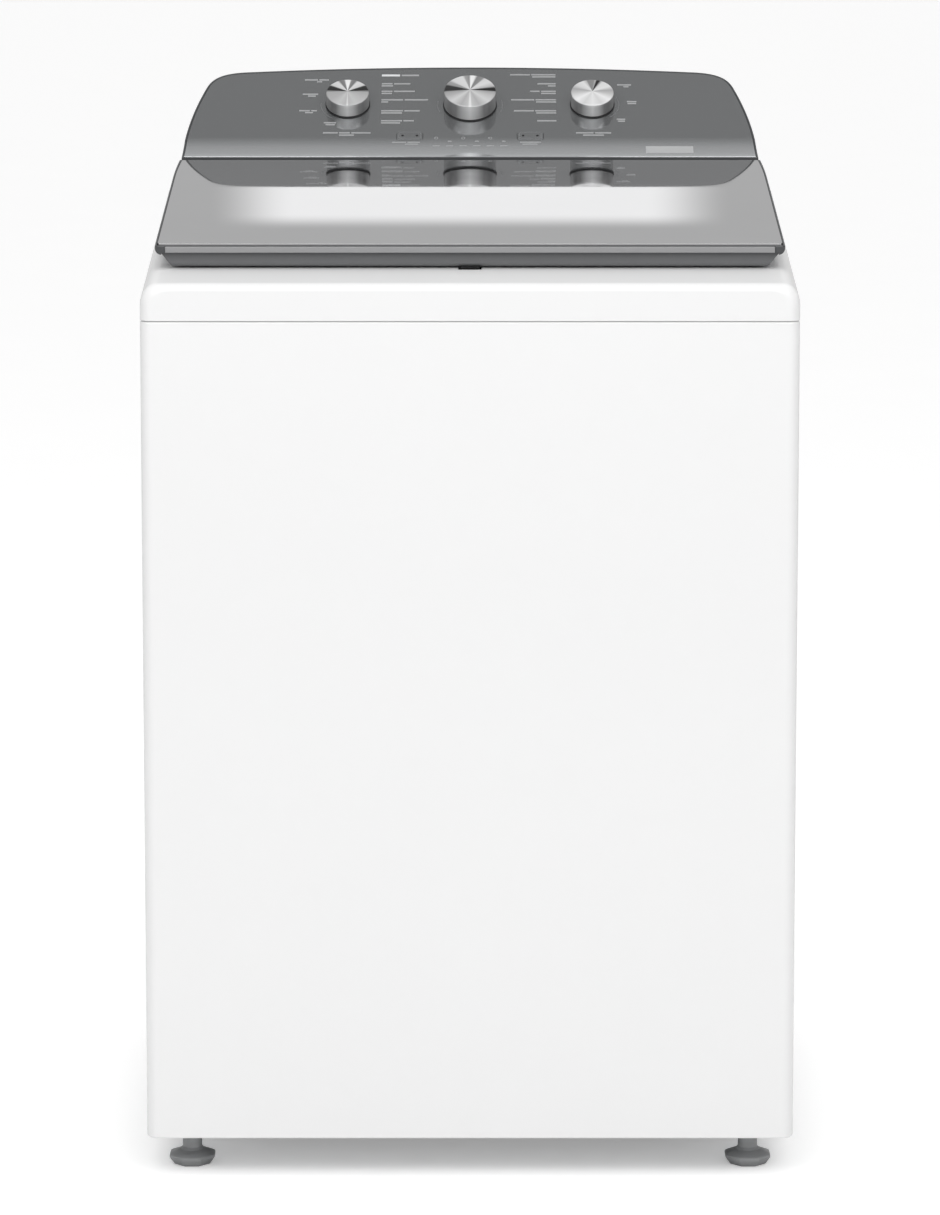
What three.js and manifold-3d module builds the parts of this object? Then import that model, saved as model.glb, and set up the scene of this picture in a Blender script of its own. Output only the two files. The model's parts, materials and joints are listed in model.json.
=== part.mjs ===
// Top load washing machine, built as separate pieces. Millimetres, +Z up.
//
// The machine is laid out with x across, y from the front face towards the back and z up from the floor.
// The finished group is then moved so that its origin lies on the floor under the middle of its outline.
import * as THREE from 'three';
import { mergeVertices } from 'three/addons/utils/BufferGeometryUtils.js';
import Module from 'manifold-3d';

const wasm = await Module();
wasm.setup();

const DEGREE = Math.PI / 180;

// Sides of a round piece, by its size
const WIDE = 18;
const KNOB = 14;
const MEDIUM = 13;
const SMALL = 10;
const TINY = 8;

// ---------------------------------------------------------------- driving dimensions
const gap = 0.3; // between pieces that touch
const runningGap = 0.5; // round a shaft, pin or stem that moves in its hole

// Cabinet
const cabinetWidth = 686;
const cabinetDepth = 686;
const cabinetBottom = 41; // lower edge above the floor
const cabinetHeight = 871; // from the lower edge to the seam under the top deck
const cornerRadius = 13;
const sheet = 1.5; // folded steel sheet
const hem = 16; // inward flange along the top and bottom edges
const rearFlange = 24; // inward flange along the two rear edges
const rearFieldDepth = 7; // pressed fields in the rear panel
const rearFieldSide = 30; // from the panel's side to a field
const rearFieldGap = 40; // below, and between the fields
const rearFieldTop = 120; // above them
const rearProjection = 14; // water inlets and drain spigot stand out of the back by this much

// Base frame and feet
const baseDeck = 3; // thickness of the base frame's plate
const baseLip = 16; // height of the stiffening lip round its opening
const baseRail = 92; // width of the base frame's rails
const footInset = 45.5; // from a side of the cabinet to the foot's axis
const footSetback = 55; // from the front or back of the cabinet to the foot's axis
const footRadius = 24;
const footDiscHeight = 16;
const footChamfer = 6;
const footNeckRadius = 10.4;
const footNeckTop = 33; // top of the plain neck above the floor
const footStudRadius = 6;
const footStudTop = 84;

// Top deck
const deckSlope = 7.9 * DEGREE; // rise of the deck and the lid towards the back
const deckFrontHeight = 37.5; // deck plane above the seam at the front edge
const deckShoulderWidth = 18;
const deckShoulderHeight = 22;
const deckFrontRound = 6;
const deckWall = 3;
const mouthInset = 77; // from a side of the cabinet to the opening over the wash basket
const mouthSetback = 43; // from the lid's front edge to the opening
const mouthBehind = 22.6; // from the opening to the hinge axis
const mouthCorner = 130;
const mouthSkirtBottom = -20; // lower edge of the opening's skirt, from the seam
const mouthSkirtTaper = 14;

// Lid
const lidSetback = 69; // lid's front edge behind the front face
const lidInset = 12.5; // from a side of the cabinet to the lid
const lidRearDraw = 3; // each side of the lid draws in by this much
const lidRearLength = 60; // over this length at its rear
const lidThickness = 23;
const lidClearance = 2.5; // between the closed lid and the deck
const lidRim = 2.2; // edge of the lid frame that shows round the panel
const lidPlate = 3; // thickness of the glossy panel
const lidLip = 10; // height of the panel's turned-down front lip
const lidRailHeight = 10; // height of the rounded side rails
const lidPanInset = 9; // lid pan's side below the rail, from the rail's outer face
const lidPanTaper = 11; // the pan's ends draw in by this much towards the bottom
const lidGrip = 5; // undercut behind the front lip
const lidWall = 2.6;
const hingeNotch = 9.5; // width of the notch that takes the hinge ear
const hingeEarInset = 30; // outer face of a hinge ear, from the lid's side
const hingeEarWidth = 5.5;
const hingePinRadius = 4;
const hingePinLength = 15;
const strikeWidth = 20;
const strikeDepth = 9;
const strikeLength = 13; // below the lid
const strikeSetback = 5; // from the lid's front edge

// Console
const consoleSlope = 34 * DEGREE;
const consoleGap = 2.9; // between the lid's round rear edge and the console
const consoleRise = 25.3; // console's lower front edge above the deck
const consoleConcaveRadius = 143; // round hollow strip along the foot of the fascia
const consoleConcaveAngle = 16 * DEGREE;
const consoleFace = 136; // flat part of the fascia, up the slope, at the middle
const consoleInset = 18; // from a side of the cabinet to the foot of the fascia's flat part
const consoleDraw = 20; // each side draws in by this much up to its round corner
const consoleBow = 3.4; // and bows outwards
const consoleFootTaper = 0.05; // and below the flat part
const consoleShoulder = 94; // height up the slope at which the round corners start
const consoleCornerWidth = 63; // from the foot's end to the end of the arched top edge
const consoleArchRadius = 3600;
const consoleBackInset = 7; // console's back wall in front of the cabinet's back
const consoleDepth = 176; // from its front edge to its back wall
const consoleWall = 2.5;
const consoleRim = 2.2; // edge of the housing that shows round the fascia
const fasciaThickness = 3;

// Controls, as places on the fascia: across, and up the slope
const cycleKnob = { x: 0, up: 64.5, radius: 30.2, height: 22.5, name: 'cycle' };
const levelKnob = { x: -140.5, up: 65.5, radius: 24.9, height: 19.5, name: 'level' };
const tempKnob = { x: 140.5, up: 65.5, radius: 24.9, height: 19.5, name: 'temp' };
const knobSkirt = 0.8; // dark base ring stands out of the metal cap by this much
const knobSkirtHeight = 1.4;
const knobWall = 1.6;
const knobDish = 1.6; // rise of the shallow cone on the knob's face
const knobShaftRadius = 4;
const buttonWidth = 29.5;
const buttonHeight = 14.6;
const buttonUp = 7.3;
const buttonAcross = 68.8;
const buttonTravel = 1.5;
const statusLights = 6;
const statusPitch = 14;
const statusDown = 9; // lights below the flat part, on the hollow strip
const statusRadius = 1.8;
const switchRadius = 17;
const switchDepth = 15;
const boardThickness = 1.6;
const boardMargin = 20; // beyond the switches
const tactileHeight = 2.8; // small switch under each button

// Tub unit
const tubClearance = 20.8; // between the basket and the tub
const tubWall = 3.2;
const tubBottom = 300; // underside of the tub's floor above the floor
const tubHeadroom = 50; // from the tub's edge up to the seam
const tubBend = 46; // radius between the tub's floor and its wall
const tubHub = 34; // hole in the tub's floor
const tubHubPlay = 1; // round the carrier's spigot in that hole
const tubRibs = 6;
const tubRibHeight = 18;
const tubRingHeight = 18; // ring above the tub's edge
const tubRingReach = 47; // ring's reach inwards from the tub's outer face
const postCircle = 105; // screw posts for the drive carrier
const postRadius = 9;
const carrierPlate = 5.7;
const carrierDrop = 20; // below the tub's ribs
const bearingRadius = 58;
const gearcaseRadius = 62;
const gearcaseHeight = 60;
const spinTubeRadius = 15;
const driveShaftRadius = 8;
const lugHeight = 12;
const lugAbove = 80; // suspension lugs above the tub's underside

// Belt drive
const pulleyGroove = 90; // radius at which the belt runs on the drive pulley
const motorGroove = 22.5; // and on the motor pulley
const pulleyFlange = 5;
const pulleyBottom = 150;
const pulleyWidth = 16;
const pulleyFlangeWidth = 3;
const pulleyRim = 15; // width of the drive pulley's rim
const pulleyHub = 20;
const beltThickness = 3.6;
const beltFit = 0.6;
const motorRadius = 62;
const motorHeight = 74;
const motorAcross = 128; // motor's axis from the tub's axis
const motorForward = 122;
const motorShaftRadius = 7;

// Basket and impeller
const basketRadius = 266;
const basketSheet = 1.5;
const basketFloor = 27; // above the tub's underside
const basketHeadroom = 26; // from the basket's rim up to the tub's edge
const basketBend = 32;
const basketRim = 5;
const basketFlat = 70; // radius at which its floor starts to rise
const drainColumns = 9;
const drainRows = 2;
const drainHole = 4.5;
const balanceWidth = 38;
const balanceHeight = 33;
const hubDisc = 118;
const hubArms = 5;
const impellerRadius = 205;
const impellerAbove = 9; // lower edge above the basket's floor
const impellerDome = 42; // height of the middle above the lower edge
const impellerShell = 4;
const vaneCount = 4;
const vaneHeight = 27;
const vaneBase = 17; // width of a vane at its foot
const vaneCrest = 5; // and at its crest
const vaneSweep = 58 * DEGREE; // turn of a vane from its root to its tip
const impellerBoss = 20; // radius of the boss on the drive shaft
const impellerCapRadius = 29;

// Suspension
const rodInset = 81; // from the side of the cabinet to a rod's axis
const rodRadius = 5;
const bracketLeg = 196; // leg of the triangular corner bracket
const bracketDrop = 17; // bracket below the seam
const springRadius = 17;
const springWire = 2.3;
const springTurns = 4;
const springLength = 74;

// Water
const valveInset = 138; // water inlet valve's middle, from the cabinet's side
const valveDepth = 42;
const inletPitch = 52;
const inletRadius = 13;
const inletBore = 9.5;
const inletAbove = 52; // water inlets above the seam
const hoseRadius = 11;
const spoutInset = 223; // fill spout, from the same side
const spoutAbove = 45; // fill spout above the seam
const pumpAcross = -150;
const pumpBack = 150;
const pumpRadius = 40;
const pumpHeight = 40;
const drainSideInset = 153; // vertical drain hose, from the cabinet's other side
const drainInset = 46; // and in front of its back
const drainRadius = 15;
const drainBelow = 72; // drain hose's upper end below the seam
const glandRadius = 11;
const glandInset = 60; // from the end of the console
const glandAbove = 26; // above the console's lower edge

// ---------------------------------------------------------------- derived places
const halfWidth = cabinetWidth / 2;
const cabinetTop = cabinetBottom + cabinetHeight;
const axisY = cabinetDepth / 2; // tub's axis
const tubRadius = basketRadius + tubClearance + tubWall;
const tubTop = cabinetTop - tubHeadroom;
const tubMouth = tubRadius - tubRingReach; // radius of the ring's mouth
const hubHole = hubDisc - 72; // opening in the basket's floor
const deckFront = cabinetTop + deckFrontHeight;
const lidDrop = lidThickness + lidClearance;
const lidFrontZ = deckHeight(lidSetback) + lidDrop / Math.cos(deckSlope);
const lidHalfWidth = halfWidth - lidInset;
const hingeDrop = lidThickness / 2;
const consoleBack = cabinetDepth - consoleBackInset;
const consoleFront = consoleBack - consoleDepth;
const consoleHalfWidth = halfWidth - consoleInset;
const hingeY = consoleFront - consoleGap - hingeDrop;
const lidReach = (hingeY - lidSetback - hingeDrop * Math.sin(deckSlope)) / Math.cos(deckSlope);
const hingeZ = lidFrontZ + lidReach * Math.sin(deckSlope) - hingeDrop * Math.cos(deckSlope);
const mouthFront = lidSetback + mouthSetback;
const mouthBack = hingeY - mouthBehind;
const mouthHalf = halfWidth - mouthInset;
const strikeY = lidSetback + strikeSetback + lidThickness * Math.sin(deckSlope); // strike's front face
const deckBack = deckFront + consoleFront * Math.tan(deckSlope); // level part under the console
const consoleBase = deckBack + gap;
const hollowReach = consoleConcaveRadius * Math.sin(consoleConcaveAngle);
const hollowRise = consoleConcaveRadius * (1 - Math.cos(consoleConcaveAngle));
// the foot of the flat part of the fascia
const faceY = consoleFront + hollowReach * Math.cos(consoleSlope) + hollowRise * Math.sin(consoleSlope);
const faceZ = deckBack + consoleRise
  + hollowReach * Math.sin(consoleSlope) - hollowRise * Math.cos(consoleSlope);
const rodX = halfWidth - rodInset;
const rodY = axisY - rodInset;
const lugTop = tubBottom + lugAbove;
const springTop = lugTop - lugHeight - gap;
const springBottom = springTop - springLength;
const basketBottom = tubBottom + basketFloor;
const basketTop = tubTop - basketHeadroom;
const impellerBottom = basketBottom + basketSheet + impellerAbove;
const carrierTop = tubBottom - tubRibHeight - carrierDrop;
const carrierBottom = carrierTop - carrierPlate;
const pulleyTop = pulleyBottom + pulleyWidth;
const valveAcross = halfWidth - valveInset;
const spoutAcross = halfWidth - spoutInset;
const drainAcross = drainSideInset - halfWidth;
const valveBack = cabinetDepth - deckWall - gap;
const drainY = cabinetDepth - drainInset;
const drainTop = cabinetTop - drainBelow + 2 * drainRadius; // height of the drain spigot
const hoseBottom = tubBottom - 38; // lower end of the vertical drain hose
const spoutHeight = cabinetTop + spoutAbove;

// Height of the sloping part of the top deck at a distance from the front face.
function deckHeight(y) {
  return deckFront + y * Math.tan(deckSlope);
}

// ---------------------------------------------------------------- solids
// A geometry as a solid with its faces outwards: vertices merged, empty triangles dropped.
function solidOf(geometry) {
  const bare = new THREE.BufferGeometry();
  bare.setAttribute('position', geometry.getAttribute('position').clone());
  if (geometry.index) bare.setIndex(geometry.index.clone());
  const merged = geometry.userData.closed ? bare : mergeVertices(bare, 1e-4);
  const position = merged.getAttribute('position');
  const triangles = [];
  let volume = 0;
  const corners = [new THREE.Vector3(), new THREE.Vector3(), new THREE.Vector3()];
  for (let i = 0; i < merged.index.count; i += 3) {
    const ids = [0, 1, 2].map((k) => merged.index.getX(i + k));
    if (ids[0] === ids[1] || ids[1] === ids[2] || ids[2] === ids[0]) continue;
    ids.forEach((id, k) => corners[k].fromBufferAttribute(position, id));
    volume += corners[0].dot(corners[1].clone().cross(corners[2]));
    triangles.push(ids);
  }
  if (volume < 0) triangles.forEach((ids) => ids.reverse());
  return new wasm.Manifold(new wasm.Mesh({
    numProp: 3,
    vertProperties: Float32Array.from(position.array),
    triVerts: Uint32Array.from(triangles.flat()),
  }));
}

function geometryOf(solid) {
  const mesh = solid.getMesh();
  const geometry = new THREE.BufferGeometry();
  geometry.setAttribute('position', new THREE.BufferAttribute(Float32Array.from(mesh.vertProperties), 3));
  geometry.setIndex(new THREE.BufferAttribute(Uint32Array.from(mesh.triVerts), 1));
  geometry.userData.closed = true;
  return geometry;
}

function join(...pieces) {
  return geometryOf(pieces.flat().map(solidOf).reduce((a, b) => a.add(b)));
}

function cut(body, ...tools) {
  return geometryOf(tools.flat().map(solidOf).reduce((a, b) => a.subtract(b), solidOf(body)));
}

function common(a, b) {
  return geometryOf(solidOf(a).intersect(solidOf(b)));
}

// ---------------------------------------------------------------- shapes
function roundedRectangle(x0, x1, y0, y1, radius) {
  const shape = new THREE.Shape();
  shape.moveTo(x0 + radius, y0);
  shape.lineTo(x1 - radius, y0);
  shape.absarc(x1 - radius, y0 + radius, radius, -Math.PI / 2, 0);
  shape.lineTo(x1, y1 - radius);
  shape.absarc(x1 - radius, y1 - radius, radius, 0, Math.PI / 2);
  shape.lineTo(x0 + radius, y1);
  shape.absarc(x0 + radius, y1 - radius, radius, Math.PI / 2, Math.PI);
  shape.lineTo(x0, y0 + radius);
  shape.absarc(x0 + radius, y0 + radius, radius, Math.PI, Math.PI * 1.5);
  return shape;
}

function outline(points) {
  return new THREE.Shape(points.map(([x, y]) => new THREE.Vector2(x, y)));
}

// The points of a flat outline at one height, without the repeats where its pieces meet.
function level(shape, z) {
  return shape.getPoints(3)
    .filter((p, i, all) => p.distanceTo(all[(i + 1) % all.length]) > 1e-3)
    .map((p) => new THREE.Vector3(p.x, p.y, z));
}

// A flat shape raised from z0 to z1. An arc of a quarter turn gets twice as many steps as curveSteps.
function slab(shape, z0, z1, curveSteps = 3) {
  const geometry = new THREE.ExtrudeGeometry(shape, {
    depth: z1 - z0, bevelEnabled: false, curveSegments: curveSteps,
  });
  return geometry.translate(0, 0, z0);
}

function box(x0, x1, y0, y1, z0, z1) {
  const geometry = new THREE.BoxGeometry(x1 - x0, y1 - y0, z1 - z0);
  return geometry.translate((x0 + x1) / 2, (y0 + y1) / 2, (z0 + z1) / 2);
}

// A side profile of (y, z) points carried from x0 to x1.
function alongX(points, x0, x1) {
  const geometry = slab(outline(points), x0, x1);
  return geometry.applyMatrix4(new THREE.Matrix4().makeBasis(
    new THREE.Vector3(0, 1, 0), new THREE.Vector3(0, 0, 1), new THREE.Vector3(1, 0, 0),
  ));
}

// A front profile of (x, z) points carried from y0 to y1.
function alongY(points, y0, y1) {
  return slab(outline(points), -y1, -y0).rotateX(Math.PI / 2);
}

// A closed (radius, z) profile turned round the vertical axis.
function turned(points, segments) {
  const profile = points.map(([r, z]) => new THREE.Vector2(r, z));
  if (points[0][0] > 0 || points[points.length - 1][0] > 0) profile.push(profile[0].clone());
  return new THREE.LatheGeometry(profile, segments).rotateX(Math.PI / 2);
}

// A round bar between two points.
function bar(from, to, radius, sides) {
  const a = new THREE.Vector3(...from);
  const b = new THREE.Vector3(...to);
  const along = b.clone().sub(a);
  const geometry = new THREE.CylinderGeometry(radius, radius, along.length(), sides);
  const turn = new THREE.Quaternion().setFromUnitVectors(new THREE.Vector3(0, 1, 0), along.normalize());
  return geometry.applyQuaternion(turn).translate(...a.add(b).multiplyScalar(0.5).toArray());
}

// A tube or solid round section along a smooth path.
function hose(points, radius, sides, steps) {
  const path = new THREE.CatmullRomCurve3(points.map((p) => new THREE.Vector3(...p)), false, 'centripetal');
  return new THREE.ExtrudeGeometry(polygon(radius, sides), { steps, bevelEnabled: false, extrudePath: path });
}

function polygon(radius, sides) {
  return outline(Array.from({ length: sides }, (_, i) => {
    const angle = (i / sides) * 2 * Math.PI;
    return [radius * Math.cos(angle), radius * Math.sin(angle)];
  }));
}

// A closed skin over equal rings of points, with its first and last ring filled in.
function loft(rings) {
  const count = rings[0].length;
  const position = rings.flat().flatMap((p) => p.toArray());
  const index = [];
  for (let ring = 0; ring + 1 < rings.length; ring += 1) {
    for (let i = 0; i < count; i += 1) {
      const a = ring * count + i;
      const b = ring * count + ((i + 1) % count);
      index.push(a, b, b + count, a, b + count, a + count);
    }
  }
  const last = (rings.length - 1) * count;
  capOf(rings[0]).forEach(([a, b, c]) => index.push(c, b, a));
  capOf(rings[rings.length - 1]).forEach(([a, b, c]) => index.push(last + a, last + b, last + c));
  const geometry = new THREE.BufferGeometry();
  geometry.setAttribute('position', new THREE.BufferAttribute(Float32Array.from(position), 3));
  geometry.setIndex(index);
  return geometry;
}

// Triangles over one ring, turned the way the ring runs.
function capOf(ring) {
  const normal = new THREE.Vector3();
  ring.forEach((p, i) => {
    const q = ring[(i + 1) % ring.length];
    normal.add(new THREE.Vector3().crossVectors(p, q));
  });
  const across = Math.abs(normal.x) > 0.9 * normal.length() ? 'y' : 'x';
  const flat = new THREE.Vector3(across === 'x' ? 1 : 0, across === 'y' ? 1 : 0, 0);
  flat.addScaledVector(normal, -flat.dot(normal) / normal.lengthSq()).normalize();
  const side = new THREE.Vector3().crossVectors(normal, flat).normalize();
  return THREE.ShapeUtils.triangulateShape(ring.map((p) => new THREE.Vector2(p.dot(flat), p.dot(side))), []);
}

const bothSides = (place) => [place(-1), place(1)];
const fourCorners = (place) => bothSides((x) => bothSides((y) => place(x, y))).flat();

// ---------------------------------------------------------------- materials
function paint(colour, roughness, metalness = 0) {
  return new THREE.MeshStandardMaterial({ color: colour, roughness, metalness });
}

const white = () => paint(0xf6f6f5, 0.35);
const silver = () => paint(0x9fa2a5, 0.12, 0.55);
const darkGrey = () => paint(0x4a4c4f, 0.4);
const fasciaGrey = () => paint(0x6f7276, 0.2);
const zinc = () => paint(0xb9bcbd, 0.42, 0.9);
const steel = () => paint(0xc9cccd, 0.25, 1);
const spun = () => paint(0xd4d6d8, 0.22, 1);
const greyPlastic = () => paint(0x8d9094, 0.5);
const palePlastic = () => paint(0xdfe2e2, 0.5);
const blackPlastic = () => paint(0x1f2022, 0.5);
const rubber = () => paint(0x202122, 0.85);
const boardGreen = () => paint(0x2f5d43, 0.5);
const clear = () => paint(0xe9eef2, 0.1);

const machine = new THREE.Group();

function add(name, geometry, material, parent = machine) {
  const mesh = new THREE.Mesh(geometryOf(solidOf(geometry)), material);
  mesh.name = name;
  parent.add(mesh);
  return mesh;
}

// ---------------------------------------------------------------- cabinet
function cabinetOutline(inset) {
  return roundedRectangle(
    -halfWidth + inset, halfWidth - inset, inset, cabinetDepth - inset, Math.max(cornerRadius - inset, 1),
  );
}

const mirrored = (geometry, sideX, sideY = 1) => geometryOf(solidOf(geometry.clone().scale(sideX, sideY, 1)));

// Triangular plate across a corner, with an upright flange on each wall, that carries a suspension rod.
// Laid out about the tub's axis for the corner at +x, +y; wallY is the inner face it is fixed to.
function cornerBracket(wallY) {
  const wallX = halfWidth - sheet / 2;
  const top = cabinetTop - bracketDrop;
  const plateBottom = top - 2 * sheet;
  const flangeTop = top + 10;
  const inX = wallX - cornerRadius;
  const inY = wallY - cornerRadius;
  const plate = slab(outline([
    [wallX, inY], [inX, wallY], [wallX - bracketLeg, wallY], [wallX - bracketLeg, wallY - 12],
    [wallX - 12, wallY - bracketLeg], [wallX, wallY - bracketLeg],
  ]), plateBottom, top);
  const sideFlange = box(wallX - 2 * sheet, wallX, wallY - bracketLeg, inY, plateBottom, flangeTop);
  const backFlange = box(wallX - bracketLeg, inX, wallY - 2 * sheet, wallY, plateBottom, flangeTop);
  const bore = bar([rodX, rodY, top - 20], [rodX, rodY, top + 20], rodRadius + 1, TINY);
  return cut(join(plate, sideFlange, backFlange), bore);
}

const rearPanelBack = cabinetDepth - sheet - gap;
const rearPanelFront = rearPanelBack - sheet;

function cabinetShell() {
  const skin = cut(
    slab(cabinetOutline(0), cabinetBottom, cabinetTop, 2),
    slab(cabinetOutline(sheet), cabinetBottom - 1, cabinetTop + 1, 2),
  );
  const hems = [cabinetBottom, cabinetTop - sheet].map((z) => cut(
    slab(cabinetOutline(0), z, z + sheet, 2),
    slab(cabinetOutline(hem), z - 1, z + sheet + 1, 1),
  ));
  const back = box(
    -halfWidth + rearFlange, halfWidth - rearFlange, cabinetDepth - 30, cabinetDepth + 1,
    cabinetBottom - 1, cabinetTop + 1,
  );
  // the hems stop in front of the rear panel
  const panelSlot = box(
    -halfWidth + sheet, halfWidth - sheet, rearPanelFront - gap, rearPanelBack + gap,
    cabinetBottom - 1, cabinetTop + 1,
  );
  const hemRing = cut(join(...hems), panelSlot);
  const brackets = fourCorners((x, y) => {
    const wallY = y > 0 ? rearPanelFront - gap - axisY : axisY - sheet / 2;
    return mirrored(cornerBracket(wallY), x, y).translate(0, axisY, 0);
  });
  const folded = cut(join(skin, hemRing), back);
  return join(folded, ...brackets);
}

// Rear panel with two pressed fields and the hole for the drain spigot.
function rearPanel() {
  const edge = 16;
  const bottom = cabinetBottom + sheet + gap;
  const top = cabinetTop - sheet - gap;
  const side = halfWidth - edge;
  const field = (z0, z1, offset) => {
    const draft = 8;
    const reach = side - rearFieldSide;
    const rectangle = (inset, y) => [
      [inset - reach, z0 + inset], [reach - inset, z0 + inset],
      [reach - inset, z1 - inset], [inset - reach, z1 - inset],
    ].map(([x, z]) => new THREE.Vector3(x, y, z));
    return loft([
      rectangle(offset, rearPanelBack + offset),
      rectangle(offset + draft, rearPanelFront - rearFieldDepth + offset),
    ]);
  };
  const middle = (bottom + rearFieldGap + top - rearFieldTop) / 2;
  const fields = [
    [bottom + rearFieldGap, middle - rearFieldGap / 2], [middle + rearFieldGap / 2, top - rearFieldTop],
  ];
  const plate = box(-side, side, rearPanelFront, rearPanelBack, bottom, top);
  const pressed = cut(
    join(plate, ...fields.map(([z0, z1]) => field(z0, z1, 0))),
    ...fields.map(([z0, z1]) => field(z0, z1, sheet)),
  );
  const spigot = bar(
    [drainAcross, rearPanelFront - 5, drainTop], [drainAcross, rearPanelBack + 5, drainTop],
    drainRadius + 1, SMALL,
  );
  return cut(pressed, spigot);
}

const footX = halfWidth - footInset;
const footY = axisY - footSetback;

function baseFrame() {
  const bottom = cabinetBottom + sheet + gap;
  const front = sheet + 1;
  const back = rearPanelFront - gap;
  const side = halfWidth - sheet - 1;
  const plate = slab(roundedRectangle(-side, side, front, back, 12), bottom, bottom + baseDeck, 2);
  const opening = (inset) => roundedRectangle(
    -side + baseRail + inset, side - baseRail - inset, front + baseRail + inset, back - baseRail - inset,
    40 - inset,
  );
  const lip = slab(opening(-baseDeck), bottom, bottom + baseLip, 2);
  const nut = (x, y) => bar([x, y, bottom], [x, y, bottom + 14], 11.5, 6);
  const stud = (x, y) => bar([x, y, bottom - 5], [x, y, bottom + 30], footStudRadius + runningGap, SMALL);
  const feet = fourCorners((x, y) => [x * footX, axisY + y * footY]);
  return cut(
    join(plate, lip, ...feet.map(([x, y]) => nut(x, y))),
    slab(opening(0), bottom - 1, bottom + baseLip + 1, 2),
    ...feet.map(([x, y]) => stud(x, y)),
  );
}

// Levelling foot: faceted pad, plain neck and the stud that screws into the base frame.
function levellingFoot() {
  const flat = footRadius / Math.cos(Math.PI / 8);
  const pad = turned([
    [0, 0], [flat - 1.5, 0], [flat, 2], [flat, footDiscHeight - footChamfer - 1],
    [flat - footChamfer, footDiscHeight], [0, footDiscHeight],
  ], 8).rotateZ(Math.PI / 8);
  const neck = bar([0, 0, footDiscHeight - 1], [0, 0, footNeckTop], footNeckRadius, TINY);
  const stud = bar([0, 0, footNeckTop - 1], [0, 0, footStudTop], footStudRadius, TINY);
  return join(pad, neck, stud);
}

// ---------------------------------------------------------------- top deck
// Cross sections from front to back: straight sides, round shoulders and a flat middle.
function deckBody(inset, bottom) {
  const corner = cornerRadius - inset;
  const arc = [0, 35, 90].map((a) => a * DEGREE);
  const frontStations = arc.map((a) => inset + corner * (1 - Math.sin(a))).reverse();
  const backStations = arc.map((a) => cabinetDepth - inset - corner * (1 - Math.sin(a)));
  const stations = [...frontStations, consoleFront, ...backStations];
  return loft(stations.map((y) => {
    const fromEnd = Math.min(y - inset, cabinetDepth - inset - y);
    const into = Math.max(corner - fromEnd, 0);
    const half = halfWidth - inset - corner + Math.sqrt(Math.max(corner ** 2 - into ** 2, 0));
    const fromRoll = Math.max(deckFrontRound - (y - inset), 0);
    const roll = deckFrontRound - Math.sqrt(deckFrontRound ** 2 - fromRoll ** 2);
    const top = Math.min(deckHeight(y), deckBack) - inset - roll;
    const shoulder = [0, 30, 60, 90].map((a) => [
      half - deckShoulderWidth * (1 - Math.cos(a * DEGREE)),
      top - deckShoulderHeight * (1 - Math.sin(a * DEGREE)),
    ]);
    const right = [[half, bottom], ...shoulder];
    const left = right.map(([x, z]) => [-x, z]).reverse();
    return [...right, ...left].map(([x, z]) => new THREE.Vector3(x, y, z));
  }));
}

function mouth(inset, z0, z1, taper) {
  const ring = (shrink) => roundedRectangle(
    -mouthHalf + inset + shrink, mouthHalf - inset - shrink,
    mouthFront + inset + shrink, mouthBack - inset - shrink, mouthCorner - inset - shrink,
  );
  return loft([level(ring(taper), z0), level(ring(0), z1)]);
}

function topDeck() {
  const seam = cabinetTop + gap;
  const skirtBottom = cabinetTop + mouthSkirtBottom;
  const above = deckBack + 20;
  const shell = cut(deckBody(0, seam), deckBody(deckWall, seam - 5));
  const skirt = common(
    mouth(-deckWall, skirtBottom, above, mouthSkirtTaper),
    deckBody(1, skirtBottom - 10),
  );
  const slot = box(
    -strikeWidth / 2 - 2, strikeWidth / 2 + 2, strikeY - 6, strikeY + strikeDepth + 5,
    cabinetTop, above,
  );
  const inlets = bothSides((side) => bar(
    [valveAcross + side * inletPitch / 2, cabinetDepth - 20, cabinetTop + inletAbove],
    [valveAcross + side * inletPitch / 2, cabinetDepth + 20, cabinetTop + inletAbove],
    inletRadius + gap, SMALL,
  ));
  const spout = bar(
    [spoutAcross, mouthBack - 30, spoutHeight], [spoutAcross, mouthBack + 30, spoutHeight],
    hoseRadius + 1, SMALL,
  );
  const wiring = slab(roundedRectangle(-60, 60, consoleFront + 40, consoleFront + 80, 10),
    cabinetTop + 20, above, 1);
  return cut(
    join(shell, skirt), mouth(0, skirtBottom - 1, above + 1, mouthSkirtTaper),
    slot, ...inlets, spout, wiring,
  );
}

// ---------------------------------------------------------------- lid
// The lid is laid out flat, with y back from its front edge and z up from its top face.
const lidGroup = new THREE.Group();
lidGroup.position.set(0, lidSetback, lidFrontZ);
lidGroup.rotation.x = deckSlope;
machine.add(lidGroup);

const earOuter = lidHalfWidth - hingeEarInset;
const notchInner = earOuter - hingeEarWidth / 2 - hingeNotch / 2;
const notchOuter = notchInner + hingeNotch;

// Plan of the lid between two distances from its front edge. Its sides draw in at the rear.
function lidPlan(inset, front, back) {
  const side = lidHalfWidth - inset;
  const right = [[side, front], [side, lidReach - lidRearLength], [side - lidRearDraw, back]];
  return outline([...right, ...right.map(([x, y]) => [-x, y]).reverse()]);
}

function lidPanel() {
  const lipSide = lidHalfWidth - lidPanInset - 1;
  const plate = slab(lidPlan(lidRim, 0, lidReach), -lidPlate, 0);
  const lip = box(-lipSide, lipSide, 0, lidPlate, -lidLip, -1);
  return join(plate, lip);
}

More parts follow.
